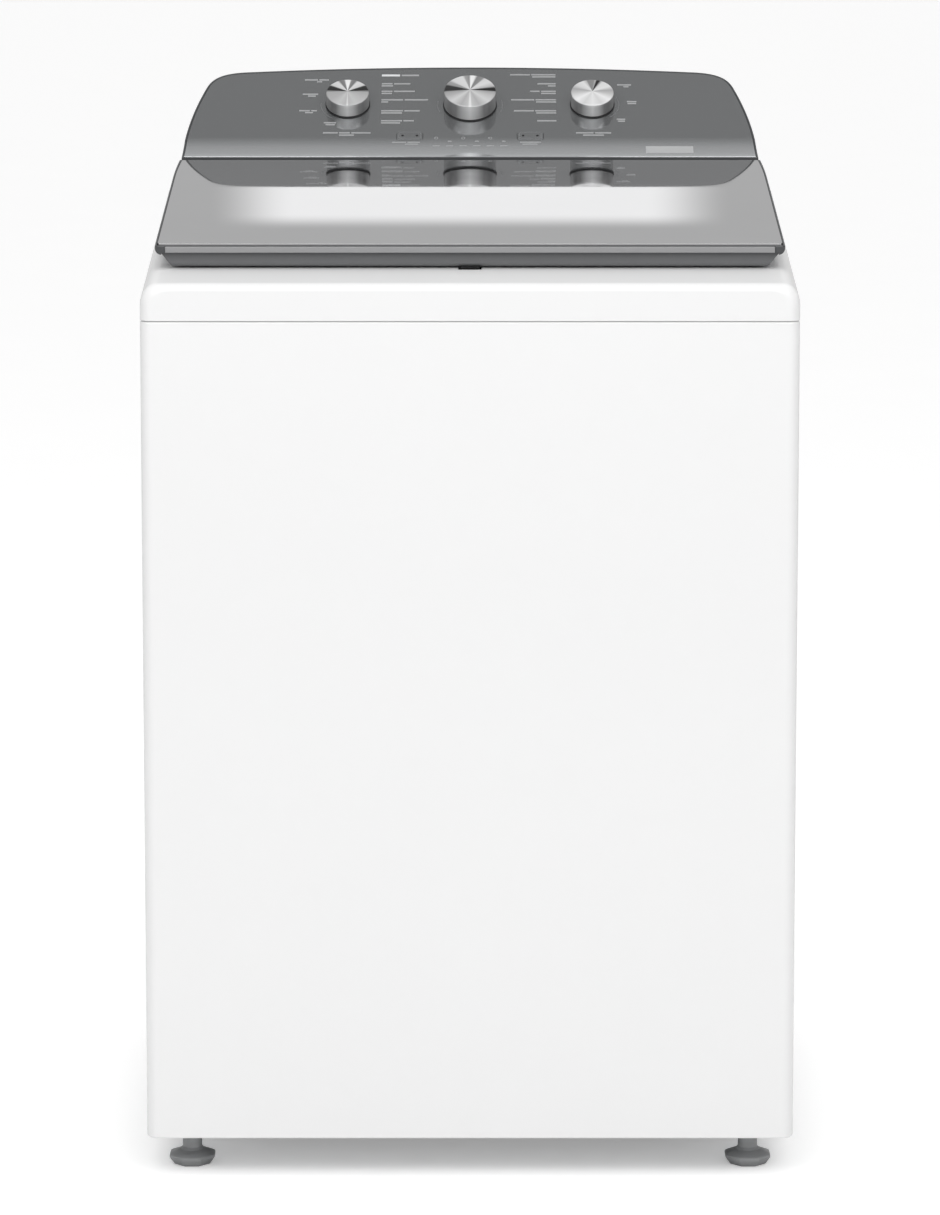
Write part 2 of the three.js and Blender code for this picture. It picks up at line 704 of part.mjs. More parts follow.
// Tray under the panel: rounded side rails, a tapered pan and the round rear edge that turns on the pins.
function lidFrame() {
  const side = lidHalfWidth;
  const railRound = 7;
  const rail = [0, 30, 60, 90].map((a) => [
    side - railRound * (1 - Math.cos(a * DEGREE)),
    -lidRailHeight + railRound * (1 - Math.sin(a * DEGREE)),
  ]);
  const panTop = side - lidPanInset;
  const right = [
    [side, 0], ...rail, [panTop, -lidRailHeight], [panTop - lidPanTaper, -lidThickness + 1.5],
    [panTop - lidPanTaper - 2, -lidThickness],
  ];
  const left = right.map(([x, z]) => [-x, z]).reverse();
  const body = alongY([...left, ...right], 0, lidReach);
  const rear = bar([-side, lidReach, -hingeDrop], [side, lidReach, -hingeDrop], hingeDrop, 16);
  const drawn = common(join(body, rear), slab(lidPlan(0, 0, lidReach + hingeDrop), -lidThickness, 0));
  const panel = slab(lidPlan(lidRim - gap, -1, lidReach + gap), -lidPlate - gap, 1);
  const lip = box(-panTop + 1 - gap, panTop - 1 + gap, -1, lidPlate + gap, -lidLip - gap, 0);
  // the pan's front leans back under the lip to leave room for fingers
  const grip = alongX([
    [-1, -lidLip - gap], [lidGrip, -lidLip - gap], [lidGrip - 3, -lidThickness - 1], [-1, -lidThickness - 1],
  ], -panTop, panTop);
  const hollowSide = panTop - lidPanTaper - lidWall;
  const hollow = slab(
    roundedRectangle(-hollowSide, hollowSide, lidGrip + lidWall, lidReach - 2 * hingeDrop, 8),
    -lidThickness + lidWall, 1, 1,
  );
  const notches = bothSides((x) => box(
    Math.min(x * notchInner, x * notchOuter), Math.max(x * notchInner, x * notchOuter),
    lidReach - 2 * hingeDrop + 2, lidReach + hingeDrop + 1, -lidThickness - 1, 1,
  ));
  const pinBores = bothSides((x) => bar(
    [x * (notchOuter - 1), lidReach, -hingeDrop],
    [x * (earOuter - hingeEarWidth - hingePinLength - 1), lidReach, -hingeDrop],
    hingePinRadius + runningGap, SMALL,
  ));
  return cut(drawn, panel, lip, grip, hollow, ...notches, ...pinBores);
}

function lidStrike() {
  const top = -lidThickness - gap;
  return alongX([
    [strikeSetback, top], [strikeSetback, top - strikeLength + 3], [strikeSetback + 2, top - strikeLength],
    [strikeSetback + strikeDepth, top - strikeLength], [strikeSetback + strikeDepth, top],
  ], -strikeWidth / 2, strikeWidth / 2);
}

// Upright ear on the deck with the pin that the lid turns on.
function lidHinge() {
  const inner = earOuter - hingeEarWidth;
  const foot = deckHeight(hingeY) + gap;
  const reach = hingeDrop - lidPlate - runningGap;
  const round = Array.from({ length: 7 }, (_, i) => {
    const angle = (i / 6) * Math.PI;
    return [hingeY + reach * Math.cos(angle), hingeZ + reach * Math.sin(angle)];
  });
  const lean = reach * Math.tan(deckSlope);
  const ear = alongX([
    ...round, [hingeY - reach, foot - lean], [hingeY + reach, foot + lean],
  ], inner, earOuter);
  const pin = bar(
    [inner + 1, hingeY, hingeZ], [inner - hingePinLength, hingeY, hingeZ], hingePinRadius, TINY,
  );
  return join(ear, pin);
}

function lidLock() {
  const top = deckHeight(strikeY - 9) - deckWall - 2;
  const body = slab(roundedRectangle(-38, 38, strikeY - 9, strikeY + 26, 3), top - 30, top, 1);
  const rise = 37 * Math.tan(deckSlope);
  const cap = alongX([
    [strikeY - 9, top - 1], [strikeY + 26, top - 1],
    [strikeY + 26, top - 0.5 + rise], [strikeY - 9, top + 1.4],
  ], -34, 34);
  const slot = box(
    -strikeWidth / 2 - 1.5, strikeWidth / 2 + 1.5, strikeY - 5, strikeY + strikeDepth + 4, top - 18, top + 20,
  );
  return cut(join(body, cap), slot);
}

// ---------------------------------------------------------------- console
// Laid out on the fascia: x across, y up the slope from the foot of its flat part, z out of its face.
const consoleGroup = new THREE.Group();
consoleGroup.position.set(0, faceY, faceZ);
consoleGroup.rotation.x = consoleSlope;
machine.add(consoleGroup);

const wallTop = -fasciaThickness - gap; // outer face of the housing under the fascia
const wallBottom = wallTop - consoleWall;
const switchTop = wallBottom - gap;
const boardTop = switchTop - switchDepth - gap;

function onFascia(y, z) {
  const along = y - faceY;
  const up = z - faceZ;
  return [
    along * Math.cos(consoleSlope) + up * Math.sin(consoleSlope),
    up * Math.cos(consoleSlope) - along * Math.sin(consoleSlope),
  ];
}

// Front view of the console: sides that draw in, round corners and an arched top.
function consoleOutline(inset) {
  const below = 90;
  const side = consoleHalfWidth - inset;
  const foot = side + below * consoleFootTaper;
  const shoulder = side - consoleDraw;
  const archHalf = consoleHalfWidth - consoleCornerWidth;
  const archEnd = consoleFace - archHalf ** 2 / (2 * consoleArchRadius) - inset;
  const arch = Math.asin(archHalf / consoleArchRadius);
  const lowThird = consoleShoulder / 3;
  const bow = [side - consoleDraw / 3 + consoleBow, shoulder + consoleDraw / 3 + consoleBow];
  const turnIn = [[shoulder - 5.3, consoleShoulder + 18], [shoulder - 14, archEnd - 3]];
  const shape = new THREE.Shape();
  shape.moveTo(-foot, -below);
  shape.lineTo(foot, -below);
  shape.lineTo(side, 0);
  shape.bezierCurveTo(bow[0], lowThird, bow[1], 2 * lowThird, shoulder, consoleShoulder);
  shape.bezierCurveTo(...turnIn[0], ...turnIn[1], archHalf, archEnd);
  shape.absarc(
    0, consoleFace - inset - consoleArchRadius, consoleArchRadius, Math.PI / 2 - arch, Math.PI / 2 + arch,
  );
  shape.bezierCurveTo(-turnIn[1][0], turnIn[1][1], -turnIn[0][0], turnIn[0][1], -shoulder, consoleShoulder);
  shape.bezierCurveTo(-bow[1], 2 * lowThird, -bow[0], lowThird, -side, 0);
  shape.lineTo(-foot, -below);
  return shape;
}

// Side curve of the fascia at a depth under its face, from its front edge up past its top.
function faceCurve(depth) {
  const radius = consoleConcaveRadius + depth;
  const hollow = Array.from({ length: 7 }, (_, i) => {
    const angle = (1 - i / 6) * (consoleConcaveAngle + 5 * DEGREE);
    return [-radius * Math.sin(angle), consoleConcaveRadius - radius * Math.cos(angle)];
  });
  return [...hollow, [consoleFace + 60, -depth]];
}

// The console's outer form drawn in by an inset all round and lowered by a depth under its face.
function consoleForm(inset, depth, base = consoleBase, back = consoleBack - inset) {
  const reach = consoleHalfWidth + 60;
  const far = 2 * consoleDepth;
  const under = alongX([...faceCurve(depth), [consoleFace + 60, -far], [-far, -far]], -reach, reach);
  const upright = alongX([
    onFascia(consoleFront + inset, base), onFascia(back, base),
    onFascia(back, base + far), onFascia(consoleFront + inset, base + far),
  ], -reach, reach);
  return common(common(slab(consoleOutline(inset), -far, 40, 3), under), upright);
}

// A layer that follows the fascia between two depths under its face.
function faceBand(inset, from, to) {
  const below = [...faceCurve(to)].reverse();
  const layer = alongX([...faceCurve(from - 1), ...below], -consoleHalfWidth - 60, consoleHalfWidth + 60);
  return common(consoleForm(inset, from), layer);
}

function buttonHole(side, clearance, z0, z1) {
  return slab(roundedRectangle(
    side * buttonAcross - buttonWidth / 2 - clearance, side * buttonAcross + buttonWidth / 2 + clearance,
    buttonUp - buttonHeight / 2 - clearance, buttonUp + buttonHeight / 2 + clearance, 3 + clearance,
  ), z0, z1, 1);
}

const knobs = [cycleKnob, levelKnob, tempKnob];
const statusPlaces = Array.from(
  { length: statusLights }, (_, i) => (i - (statusLights - 1) / 2) * statusPitch,
);
const lensHalf = (statusLights * statusPitch) / 2;

function faceHoles(z0, z1) {
  return [
    ...knobs.map((knob) => bar([knob.x, knob.up, z0], [knob.x, knob.up, z1], knobShaftRadius + 1, SMALL)),
    ...bothSides((side) => buttonHole(side, gap, z0, z1)),
  ];
}

function consoleHousing() {
  const open = consoleForm(consoleWall, -wallBottom, consoleBase - 30, consoleBack + 30);
  const seat = faceBand(consoleRim, -5, fasciaThickness + gap);
  const lensSlot = box(-lensHalf - gap, lensHalf + gap, -statusDown - 4.5, -statusDown + 4.5, -20, 1);
  const shell = cut(consoleForm(0, 0), open, seat);
  const wider = bothSides((side) => buttonHole(side, 2 * gap, -30, 20));
  return cut(shell, lensSlot, ...faceHoles(-30, 20), ...wider);
}

function consoleFascia() {
  const windows = statusPlaces.map((x) => bar(
    [x, -statusDown, -10], [x, -statusDown, 10], statusRadius + gap, 6,
  ));
  return cut(faceBand(consoleRim + gap, 0, fasciaThickness), ...faceHoles(-30, 30), ...windows);
}

function statusLens() {
  const strip = box(-lensHalf, lensHalf, -statusDown - 4, -statusDown + 4, wallBottom - 1, wallTop - 0.6);
  const pegs = statusPlaces.map((x) => bar(
    [x, -statusDown, wallTop - 1], [x, -statusDown, 0], statusRadius, 6,
  ));
  return join(strip, ...pegs);
}

function consoleRearCover() {
  const form = consoleForm(consoleWall + gap, gap - wallBottom, consoleBase, consoleBack)
    .rotateX(consoleSlope).translate(0, faceY, faceZ);
  const layer = box(
    -halfWidth, halfWidth, consoleBack - sheet, consoleBack + 1, cabinetTop, consoleBase + 2 * consoleDepth,
  );
  return cut(common(form, layer), glandBar(glandRadius + gap, -30, 30, SMALL));
}

function glandBar(radius, front, back, sides) {
  const x = glandInset - consoleHalfWidth;
  const z = consoleBase + glandAbove;
  return bar([x, consoleBack + front, z], [x, consoleBack + back, z], radius, sides);
}

function cordGland() {
  const body = join(
    glandBar(glandRadius, -8, 3, SMALL), glandBar(glandRadius + 3.5, 0.2, 5, SMALL),
    glandBar(glandRadius + 3, -8, -sheet - gap, TINY),
  );
  return cut(body, glandBar(4.6, -20, 20, TINY));
}

function selectorSwitch() {
  const body = turned([
    [knobShaftRadius + runningGap, 0], [switchRadius, 0], [switchRadius, 4 - switchDepth],
    [switchRadius - 3, -switchDepth], [knobShaftRadius + runningGap, -switchDepth],
  ], SMALL);
  const terminals = bothSides((side) => box(
    side * (switchRadius - 1) - 3, side * (switchRadius - 1) + 3, -7, 7, -switchDepth, 6 - switchDepth,
  ));
  const bore = bar([0, 0, -switchDepth - 1], [0, 0, 1], knobShaftRadius + runningGap, SMALL);
  return cut(join(body, ...terminals), bore);
}

function controlBoard() {
  const side = tempKnob.x + switchRadius + boardMargin;
  const upper = cycleKnob.up + switchRadius + boardMargin;
  const plate = box(-side, side, -6, upper, boardTop - boardThickness, boardTop);
  const tactile = bothSides((side) => box(
    side * buttonAcross - 4, side * buttonAcross + 4, buttonUp - 4, buttonUp + 4,
    boardTop - 0.5, boardTop + tactileHeight,
  ));
  const parts = [
    [-100, -84, 40, 56, 3], [-60, -34, 60, 80, 14], [40, 62, 34, 52, 12], [70, 104, 66, 84, 9],
    [-60, -42, 24, 44, 7],
  ].map(([x0, x1, y0, y1, height]) => box(x0, x1, y0, y1, boardTop - 0.5, boardTop + height));
  return join(plate, ...tactile, ...parts);
}

// Metal cap with a shallow spun cone on its face, over a dark core with a base ring and a shaft.
function knobCap({ radius, height }) {
  const foot = knobSkirtHeight + 2 * gap;
  const edge = height - knobDish;
  return turned([
    [0, height], [radius - 1.4, edge], [radius - 0.3, edge - 1.2], [radius, foot], [radius - knobWall, foot],
    [radius - knobWall, edge - knobWall], [0, edge - knobWall],
  ], KNOB);
}

function knobCore({ radius, height }) {
  const inside = radius - knobWall - gap;
  const crown = height - knobDish - knobWall - 3 * gap;
  return join(
    turned([
      [0, gap], [radius + knobSkirt, gap], [radius + knobSkirt, knobSkirtHeight],
      [inside, knobSkirtHeight + gap], [inside, crown], [0, crown],
    ], KNOB),
    bar([0, 0, switchTop - switchDepth + 2], [0, 0, 2], knobShaftRadius, TINY),
  );
}

function pushButton(side) {
  const cap = slab(roundedRectangle(
    side * buttonAcross - buttonWidth / 2, side * buttonAcross + buttonWidth / 2,
    buttonUp - buttonHeight / 2, buttonUp + buttonHeight / 2, 3,
  ), wallBottom - 2, 0.5, 2);
  const stemEnd = boardTop + tactileHeight + buttonTravel + 0.7;
  const stem = bar(
    [side * buttonAcross, buttonUp, wallBottom - 1], [side * buttonAcross, buttonUp, stemEnd], 4, TINY,
  );
  return join(cap, stem);
}

// ---------------------------------------------------------------- water
function inletValve() {
  const z = cabinetTop + inletAbove;
  const back = valveBack;
  const front = back - valveDepth;
  const body = slab(roundedRectangle(valveAcross - 46, valveAcross + 46, front, back, 6), z - 17, z + 17, 1);
  const ports = bothSides((side) => bar(
    [valveAcross + side * inletPitch / 2, back - 5, z],
    [valveAcross + side * inletPitch / 2, cabinetDepth + rearProjection, z], inletRadius, SMALL,
  ));
  const bores = bothSides((side) => bar(
    [valveAcross + side * inletPitch / 2, back - 2, z],
    [valveAcross + side * inletPitch / 2, cabinetDepth + rearProjection + 1, z], inletBore, TINY,
  ));
  const coils = bothSides((side) => bar(
    [valveAcross + side * 23, front + 20, z + 10], [valveAcross + side * 23, front + 20, z + 42], 13, TINY,
  ));
  return cut(join(body, ...ports, ...coils), ...bores);
}

function fillHose() {
  const z = spoutHeight;
  const back = valveBack - valveDepth - gap;
  return hose([
    [valveAcross, back, z], [valveAcross, back - 30, z], [valveAcross - 40, back - 95, z],
    [spoutAcross, mouthBack + 40, z], [spoutAcross, mouthBack - 8, z],
  ], hoseRadius, TINY, TINY);
}

function drainOutlet() {
  const y = drainY;
  const bottom = cabinetTop - drainBelow + gap;
  const end = cabinetDepth + rearProjection;
  const elbow = hose([
    [drainAcross, y, bottom], [drainAcross, y, bottom + 8], [drainAcross, y + 9, drainTop - 5],
    [drainAcross, y + 26, drainTop], [drainAcross, end - 16, drainTop], [drainAcross, end, drainTop],
  ], drainRadius, TINY, TINY);
  const bore = bar(
    [drainAcross, end - 18, drainTop], [drainAcross, end + 1, drainTop], drainRadius - 3, TINY,
  );
  return cut(elbow, bore);
}

function drainHose() {
  return bar(
    [drainAcross, drainY, hoseBottom + gap], [drainAcross, drainY, cabinetTop - drainBelow],
    drainRadius - 1, SMALL,
  );
}

function drainPump() {
  const x = pumpAcross;
  const y = axisY + pumpBack;
  const top = tubBottom - 20 - gap;
  const volute = turned([
    [0, -pumpHeight], [pumpRadius - 5, -pumpHeight], [pumpRadius, 5 - pumpHeight], [pumpRadius, -12],
    [pumpRadius - 12, 0], [0, 0],
  ], MEDIUM).translate(x, y, top);
  const motor = bar([x, y, top - pumpHeight - 52], [x, y, top - pumpHeight + 2], pumpRadius - 13, SMALL);
  const bottom = top - pumpHeight;
  const elbow = hose([
    [x - 6, y + 20, bottom + 16], [x - 16, y + 55, bottom + 6], [drainAcross + 10, y + 104, bottom - 18],
    [drainAcross + 1, drainY - 14, bottom - 17],
    [drainAcross, drainY, bottom + 4], [drainAcross, drainY, hoseBottom],
  ], drainRadius - 2, TINY, 10);
  return join(volute, motor, elbow);
}

// ---------------------------------------------------------------- tub unit
function suspensionLug(x, y) {
  const reach = Math.hypot(rodX, rodY);
  const arm = slab(outline([
    [tubRadius - 12, -26], [reach, -17], [reach + 14, -9], [reach + 14, 9], [reach, 17], [tubRadius - 12, 26],
  ]), lugTop - lugHeight, lugTop);
  const gusset = alongY([
    [tubRadius - 6, lugTop - 1], [reach - 14, lugTop - 1],
    [tubRadius - 2, lugTop + 74], [tubRadius - 6, lugTop + 74],
  ], -4, 4);
  return join(arm, gusset).rotateZ(Math.atan2(y * rodY, x * rodX));
}

function tub() {
  const inner = tubRadius - tubWall;
  const bend = [0, 45, 90].map((a) => a * DEGREE);
  const outside = bend.map((a) => [
    tubRadius - tubBend + tubBend * Math.sin(a), tubBottom + tubBend * (1 - Math.cos(a)),
  ]);
  const inside = bend.map((a) => [
    tubRadius - tubBend + (tubBend - tubWall) * Math.sin(a),
    tubBottom + tubWall + (tubBend - tubWall) * (1 - Math.cos(a)),
  ]).reverse();
  const bowl = turned([
    [tubHub, tubBottom], ...outside, [tubRadius, tubTop], [inner, tubTop], ...inside,
    [tubHub, tubBottom + tubWall],
  ], WIDE);
  const ribs = Array.from({ length: tubRibs }, (_, i) => alongY([
    [bearingRadius + 5, tubBottom - tubRibHeight], [tubRadius - tubBend - 20, tubBottom - tubRibHeight + 8],
    [tubRadius - tubBend + 8, tubBottom + 2], [bearingRadius + 5, tubBottom + 1],
  ], -1.6, 1.6).rotateZ((i / tubRibs) * 2 * Math.PI));
  const corners = [45, 135, 225, 315].map((a) => a * DEGREE);
  const posts = corners.map((a) => bar(
    [postCircle * Math.cos(a), postCircle * Math.sin(a), carrierTop + gap],
    [postCircle * Math.cos(a), postCircle * Math.sin(a), tubBottom + 1], postRadius, TINY,
  ));
  const lugs = fourCorners((x, y) => suspensionLug(x, y));
  const neck = [[pumpAcross, pumpBack, tubBottom - 20], [pumpAcross, pumpBack, tubBottom + 1]];
  const rodHoles = fourCorners((x, y) => bar(
    [x * rodX, y * rodY, lugTop - 40], [x * rodX, y * rodY, lugTop + 60], rodRadius + 2.5, TINY,
  ));
  const sump = bar([pumpAcross, pumpBack, tubBottom - 30], [pumpAcross, pumpBack, tubBottom + 10], 15, TINY);
  return cut(join(bowl, ...ribs, ...posts, ...lugs, bar(...neck, 19, SMALL)), ...rodHoles, sump);
}

function tubRing() {
  const outer = tubRadius + 3.6;
  const top = tubTop + tubRingHeight;
  return turned([
    [tubRadius + gap, tubTop - 14], [outer, tubTop - 14], [outer, tubTop + 8], [outer - 8, top],
    [tubMouth, top], [tubMouth, top - 4], [outer - 11, top - 4],
    [tubRadius - tubWall, tubTop + gap], [tubRadius + gap, tubTop + gap],
  ], WIDE);
}

// Steel plate with the bearing housing that hangs from the tub's posts and carries the gearcase and motor.
function driveCarrier() {
  const disc = slab(polygon(postCircle + 18, MEDIUM), carrierBottom, carrierTop);
  const arm = slab(outline(driveLoop(postCircle + 10, motorRadius - 2, 20)), carrierBottom, carrierTop);
  const housing = turned([
    [spinTubeRadius + runningGap, carrierBottom], [bearingRadius - 8, carrierBottom],
    [bearingRadius, carrierTop + 6], [bearingRadius, tubBottom - gap], [tubHub - tubHubPlay, tubBottom - gap],
    [tubHub - tubHubPlay, tubBottom + tubWall + 3], [spinTubeRadius + runningGap, tubBottom + tubWall + 3],
  ], MEDIUM);
  const bore = bar([0, 0, carrierBottom - 1], [0, 0, tubBottom + 20], spinTubeRadius + runningGap, MEDIUM);
  const windows = [90, 180].map((a) => bar(
    [90 * Math.cos(a * DEGREE), 90 * Math.sin(a * DEGREE), carrierBottom - 1],
    [90 * Math.cos(a * DEGREE), 90 * Math.sin(a * DEGREE), carrierTop + 1], 12, TINY,
  ));
  return cut(join(disc, arm, housing), bore, ...windows);
}

// Loop round the drive pulley's axis and the motor's axis, as points, with a step in degrees.
function driveLoop(largeRadius, smallRadius, step) {
  const distance = Math.hypot(motorAcross, motorForward);
  const towards = Math.atan2(-motorForward, motorAcross);
  const wrap = Math.acos((largeRadius - smallRadius) / distance);
  const arc = (x, y, radius, from, to) => {
    const count = Math.ceil((to - from) / (step * DEGREE));
    return Array.from({ length: count + 1 }, (_, i) => {
      const angle = towards + from + ((to - from) * i) / count;
      return [x + radius * Math.cos(angle), y + radius * Math.sin(angle)];
    });
  };
  return [
    ...arc(0, 0, largeRadius, wrap, 2 * Math.PI - wrap),
    ...arc(motorAcross, -motorForward, smallRadius, -wrap, wrap),
  ];
}

function gearcase() {
  const top = carrierBottom - gap;
  const bottom = top - gearcaseHeight;
  const step = bottom + 16;
  return turned([
    [driveShaftRadius + runningGap, bottom], [30, bottom], [34, bottom + 12],
    [gearcaseRadius - 10, bottom + 16], [gearcaseRadius - 4, bottom + 40], [gearcaseRadius, top - 8],
    [gearcaseRadius, top], [spinTubeRadius + runningGap, top], [spinTubeRadius + runningGap, step],
    [driveShaftRadius + runningGap, step],
  ], MEDIUM);
}

function motor() {
  const top = carrierBottom - gap;
  const bottom = top - motorHeight;
  const body = turned([
    [0, bottom], [22, bottom], [26, bottom + 8], [motorRadius - 8, bottom + 10], [motorRadius, bottom + 22],
    [motorRadius, top - 14], [motorRadius - 8, top], [0, top],
  ], MEDIUM);
  const fins = Array.from({ length: 8 }, (_, i) => box(
    motorRadius - 2, motorRadius + 3, -2, 2, bottom + 26, top - 18,
  ).rotateZ((i / 8) * 2 * Math.PI));
  const bore = bar([0, 0, bottom - 1], [0, 0, bottom + 40], motorShaftRadius + runningGap, SMALL);
  return cut(join(body, ...fins), bore).translate(motorAcross, -motorForward, 0);
}

function motorPulley() {
  const bottom = pulleyBottom;
  const rim = motorGroove + pulleyFlange;
  const shaftTop = carrierBottom - gap - motorHeight + 36;
  return turned([
    [0, bottom - 2], [rim, bottom - 2], [rim, bottom + pulleyFlangeWidth],
    [motorGroove, bottom + pulleyFlangeWidth], [motorGroove, pulleyTop - pulleyFlangeWidth],
    [rim, pulleyTop - pulleyFlangeWidth], [rim, pulleyTop],
    [motorShaftRadius, pulleyTop + 3], [motorShaftRadius, shaftTop], [0, shaftTop],
  ], SMALL).translate(motorAcross, -motorForward, 0);
}

function drivePulley() {
  const rim = pulleyGroove + pulleyFlange;
  const rimInner = rim - pulleyRim;
  const bore = driveShaftRadius + gap;
  const wheel = turned([
    [bore, pulleyBottom], [pulleyHub, pulleyBottom + 6], [rimInner, pulleyBottom + 6],
    [rimInner, pulleyBottom], [rim, pulleyBottom], [rim, pulleyBottom + pulleyFlangeWidth],
    [pulleyGroove, pulleyBottom + pulleyFlangeWidth], [pulleyGroove, pulleyTop - pulleyFlangeWidth],
    [rim, pulleyTop - pulleyFlangeWidth], [rim, pulleyTop], [rimInner, pulleyTop],
    [rimInner, pulleyBottom + 10], [pulleyHub, pulleyBottom + 10], [pulleyHub, pulleyTop + 8],
    [bore, pulleyTop + 8],
  ], MEDIUM);
  const windows = Array.from({ length: 4 }, (_, i) => {
    const angle = (i / 4) * 2 * Math.PI;
    const circle = (pulleyHub + rimInner) / 2;
    const place = [circle * Math.cos(angle), circle * Math.sin(angle)];
    return bar([...place, pulleyBottom - 1], [...place, pulleyTop + 1], 17, TINY);
  });
  return cut(wheel, ...windows);
}

function driveBelt() {
  const z0 = pulleyBottom + pulleyFlangeWidth + runningGap;
  const z1 = pulleyTop - pulleyFlangeWidth - runningGap;
  const loop = (offset) => outline(driveLoop(pulleyGroove + offset, motorGroove + offset, 12));
  return cut(slab(loop(beltFit + beltThickness), z0, z1), slab(loop(beltFit), z0 - 1, z1 + 1));
}

function basket() {
  const wall = basketRadius - basketSheet;
  const bend = [0, 45, 90].map((a) => a * DEGREE);
  const lift = 4; // the floor rises towards the wall
  const curve = (radius, shift) => bend.map((a) => [
    basketRadius - basketBend + radius * Math.sin(a),
    basketBottom + lift + shift + radius * (1 - Math.cos(a)),
  ]);
  const shell = turned([
    [hubHole, basketBottom], [basketFlat, basketBottom], ...curve(basketBend, 0),
    [basketRadius, basketTop - basketSheet], [basketRadius + basketRim, basketTop - basketSheet],
    [basketRadius + basketRim, basketTop], [wall, basketTop],
    ...curve(basketBend - basketSheet, basketSheet).reverse(),
    [basketFlat, basketBottom + basketSheet], [hubHole, basketBottom + basketSheet],
  ], 2 * drainColumns);
  const firstRow = basketBottom + basketBend + 40;
  const rowPitch = (basketTop - 50 - firstRow) / (drainRows - 1);
  const holes = [];
  for (let column = 0; column < drainColumns; column += 1) {
    const angle = ((column + 0.25) / drainColumns) * 2 * Math.PI;
    for (let row = 0; row < drainRows; row += 1) {
      const z = firstRow + row * rowPitch;
      holes.push(bar([wall - 8, 0, z], [basketRadius + 8, 0, z], drainHole, 6).rotateZ(angle));
    }
  }
  return cut(shell, join(...holes));
}

function balanceRing() {
  const outer = basketRadius + basketRim;
  const bottom = basketTop + gap;
  const top = bottom + balanceHeight;
  return turned([
    [outer - balanceWidth, bottom], [outer, bottom], [outer, top - 5], [outer - 5, top],
    [outer - balanceWidth + 10, top], [outer - balanceWidth, top - 10],
  ], WIDE);
}

// Hub under the basket with its arms, and the spin tube that turns in the bearing housing.
function basketHub() {
  const top = basketBottom - gap;
  const bore = driveShaftRadius + runningGap;
  const bottom = carrierBottom - gearcaseHeight + 20;
  const disc = turned([
    [bore, bottom], [spinTubeRadius, bottom], [spinTubeRadius, top - 16], [34, top - 16], [42, top - 9],
    [hubDisc, top - 5], [hubDisc, top], [bore, top],
  ], MEDIUM);
  const arms = Array.from({ length: hubArms }, (_, i) => alongY([
    [38, top - 15], [hubDisc - 6, top - 9], [hubDisc - 6, top - 4], [38, top - 4],
  ], -5, 5).rotateZ((i / hubArms) * 2 * Math.PI));
  return cut(join(disc, ...arms), bar([0, 0, bottom - 1], [0, 0, top + 1], bore, MEDIUM));
}

// Curved vane that rises from the wash plate, leans over and dies away towards the rim.
function vane(turn) {
  const stations = 5;
  const root = 40;
  const tip = impellerRadius - 9;
  const rings = Array.from({ length: stations }, (_, i) => {
    const t = i / (stations - 1);
    const radius = root + (tip - root) * t;
    const angle = turn + vaneSweep * t ** 1.3;
    const height = vaneHeight * Math.sin(Math.PI * (0.16 + 0.8 * t)) ** 0.8;
    const foot = plateHeight(radius) - impellerShell * 0.6;
    const base = vaneBase * (1 - 0.35 * t);
    const section = [
      [-base / 2, foot], [-base / 2, foot + 3], [-vaneCrest / 2 + 1.5, foot + 2.6 + height * 0.8],
      [1.5, foot + 4 + height], [vaneCrest / 2 + 1.5, foot + 2.6 + height * 0.8],
      [base / 2, foot + 3], [base / 2, foot],
    ];
    const out = new THREE.Vector3(Math.cos(angle), Math.sin(angle), 0);
    const sweep = Math.atan(radius * vaneSweep * 1.3 * t ** 0.3 / (tip - root));
    const across = new THREE.Vector3(-Math.sin(angle + sweep), Math.cos(angle + sweep), 0);
    const centre = out.multiplyScalar(radius);
    return section.map(([side, z]) => centre.clone().addScaledVector(across, side).setZ(z));
  });
  return loft(rings);
}

// Upper face of the wash plate over its radius, from the rim to the middle.
const plateCurve = [[1, 0.14], [0.92, 0.21], [0.63, 0.26], [0.45, 0.4], [0.33, 0.62], [0.24, 0.86], [0.14, 1]]
  .map(([radius, height]) => [radius * impellerRadius, height * impellerDome]);

function plateHeight(radius) {
  const next = plateCurve.findIndex(([r]) => r <= radius);
  if (next <= 0) return impellerBottom + (next === 0 ? plateCurve[0][1] : impellerDome);
  const [r0, h0] = plateCurve[next - 1];
  const [r1, h1] = plateCurve[next];
  return impellerBottom + h0 + ((radius - r0) / (r1 - r0)) * (h1 - h0);
}

function impeller() {
  const bore = driveShaftRadius + gap;
  const top = plateCurve.map(([r, h]) => [r, impellerBottom + h]);
  const under = plateCurve.slice(1, 6).map(([r, h]) => [r - 2, impellerBottom + h - impellerShell]);
  const bossBottom = basketBottom + basketSheet + 1;
  const plate = turned([
    [0, impellerBottom + impellerDome], ...[...top].reverse(), [impellerRadius, impellerBottom],
    [impellerRadius - 4, impellerBottom], ...under, [impellerBoss + 4, impellerBottom + impellerDome - 8],
    [impellerBoss, bossBottom], [bore, bossBottom], [bore, impellerBottom + impellerDome - 6],
    [0, impellerBottom + impellerDome - 6],
  ], WIDE);
  const vanes = Array.from({ length: vaneCount }, (_, i) => vane((i / vaneCount) * 2 * Math.PI));
  return join(plate, ...vanes);
}

function impellerCap() {
  const foot = impellerBottom + impellerDome + gap;
  return turned([
    [0, foot], [impellerCapRadius - 3, foot], [impellerCapRadius - 3, foot + 3],
    [impellerCapRadius - 8, foot + 9], [impellerCapRadius - 18, foot + 12], [0, foot + 12.5],
  ], MEDIUM);
}

function driveShaft() {
  const top = impellerBottom + impellerDome - 6 - gap;
  return bar([0, 0, pulleyBottom - 2], [0, 0, top], driveShaftRadius, SMALL);
}

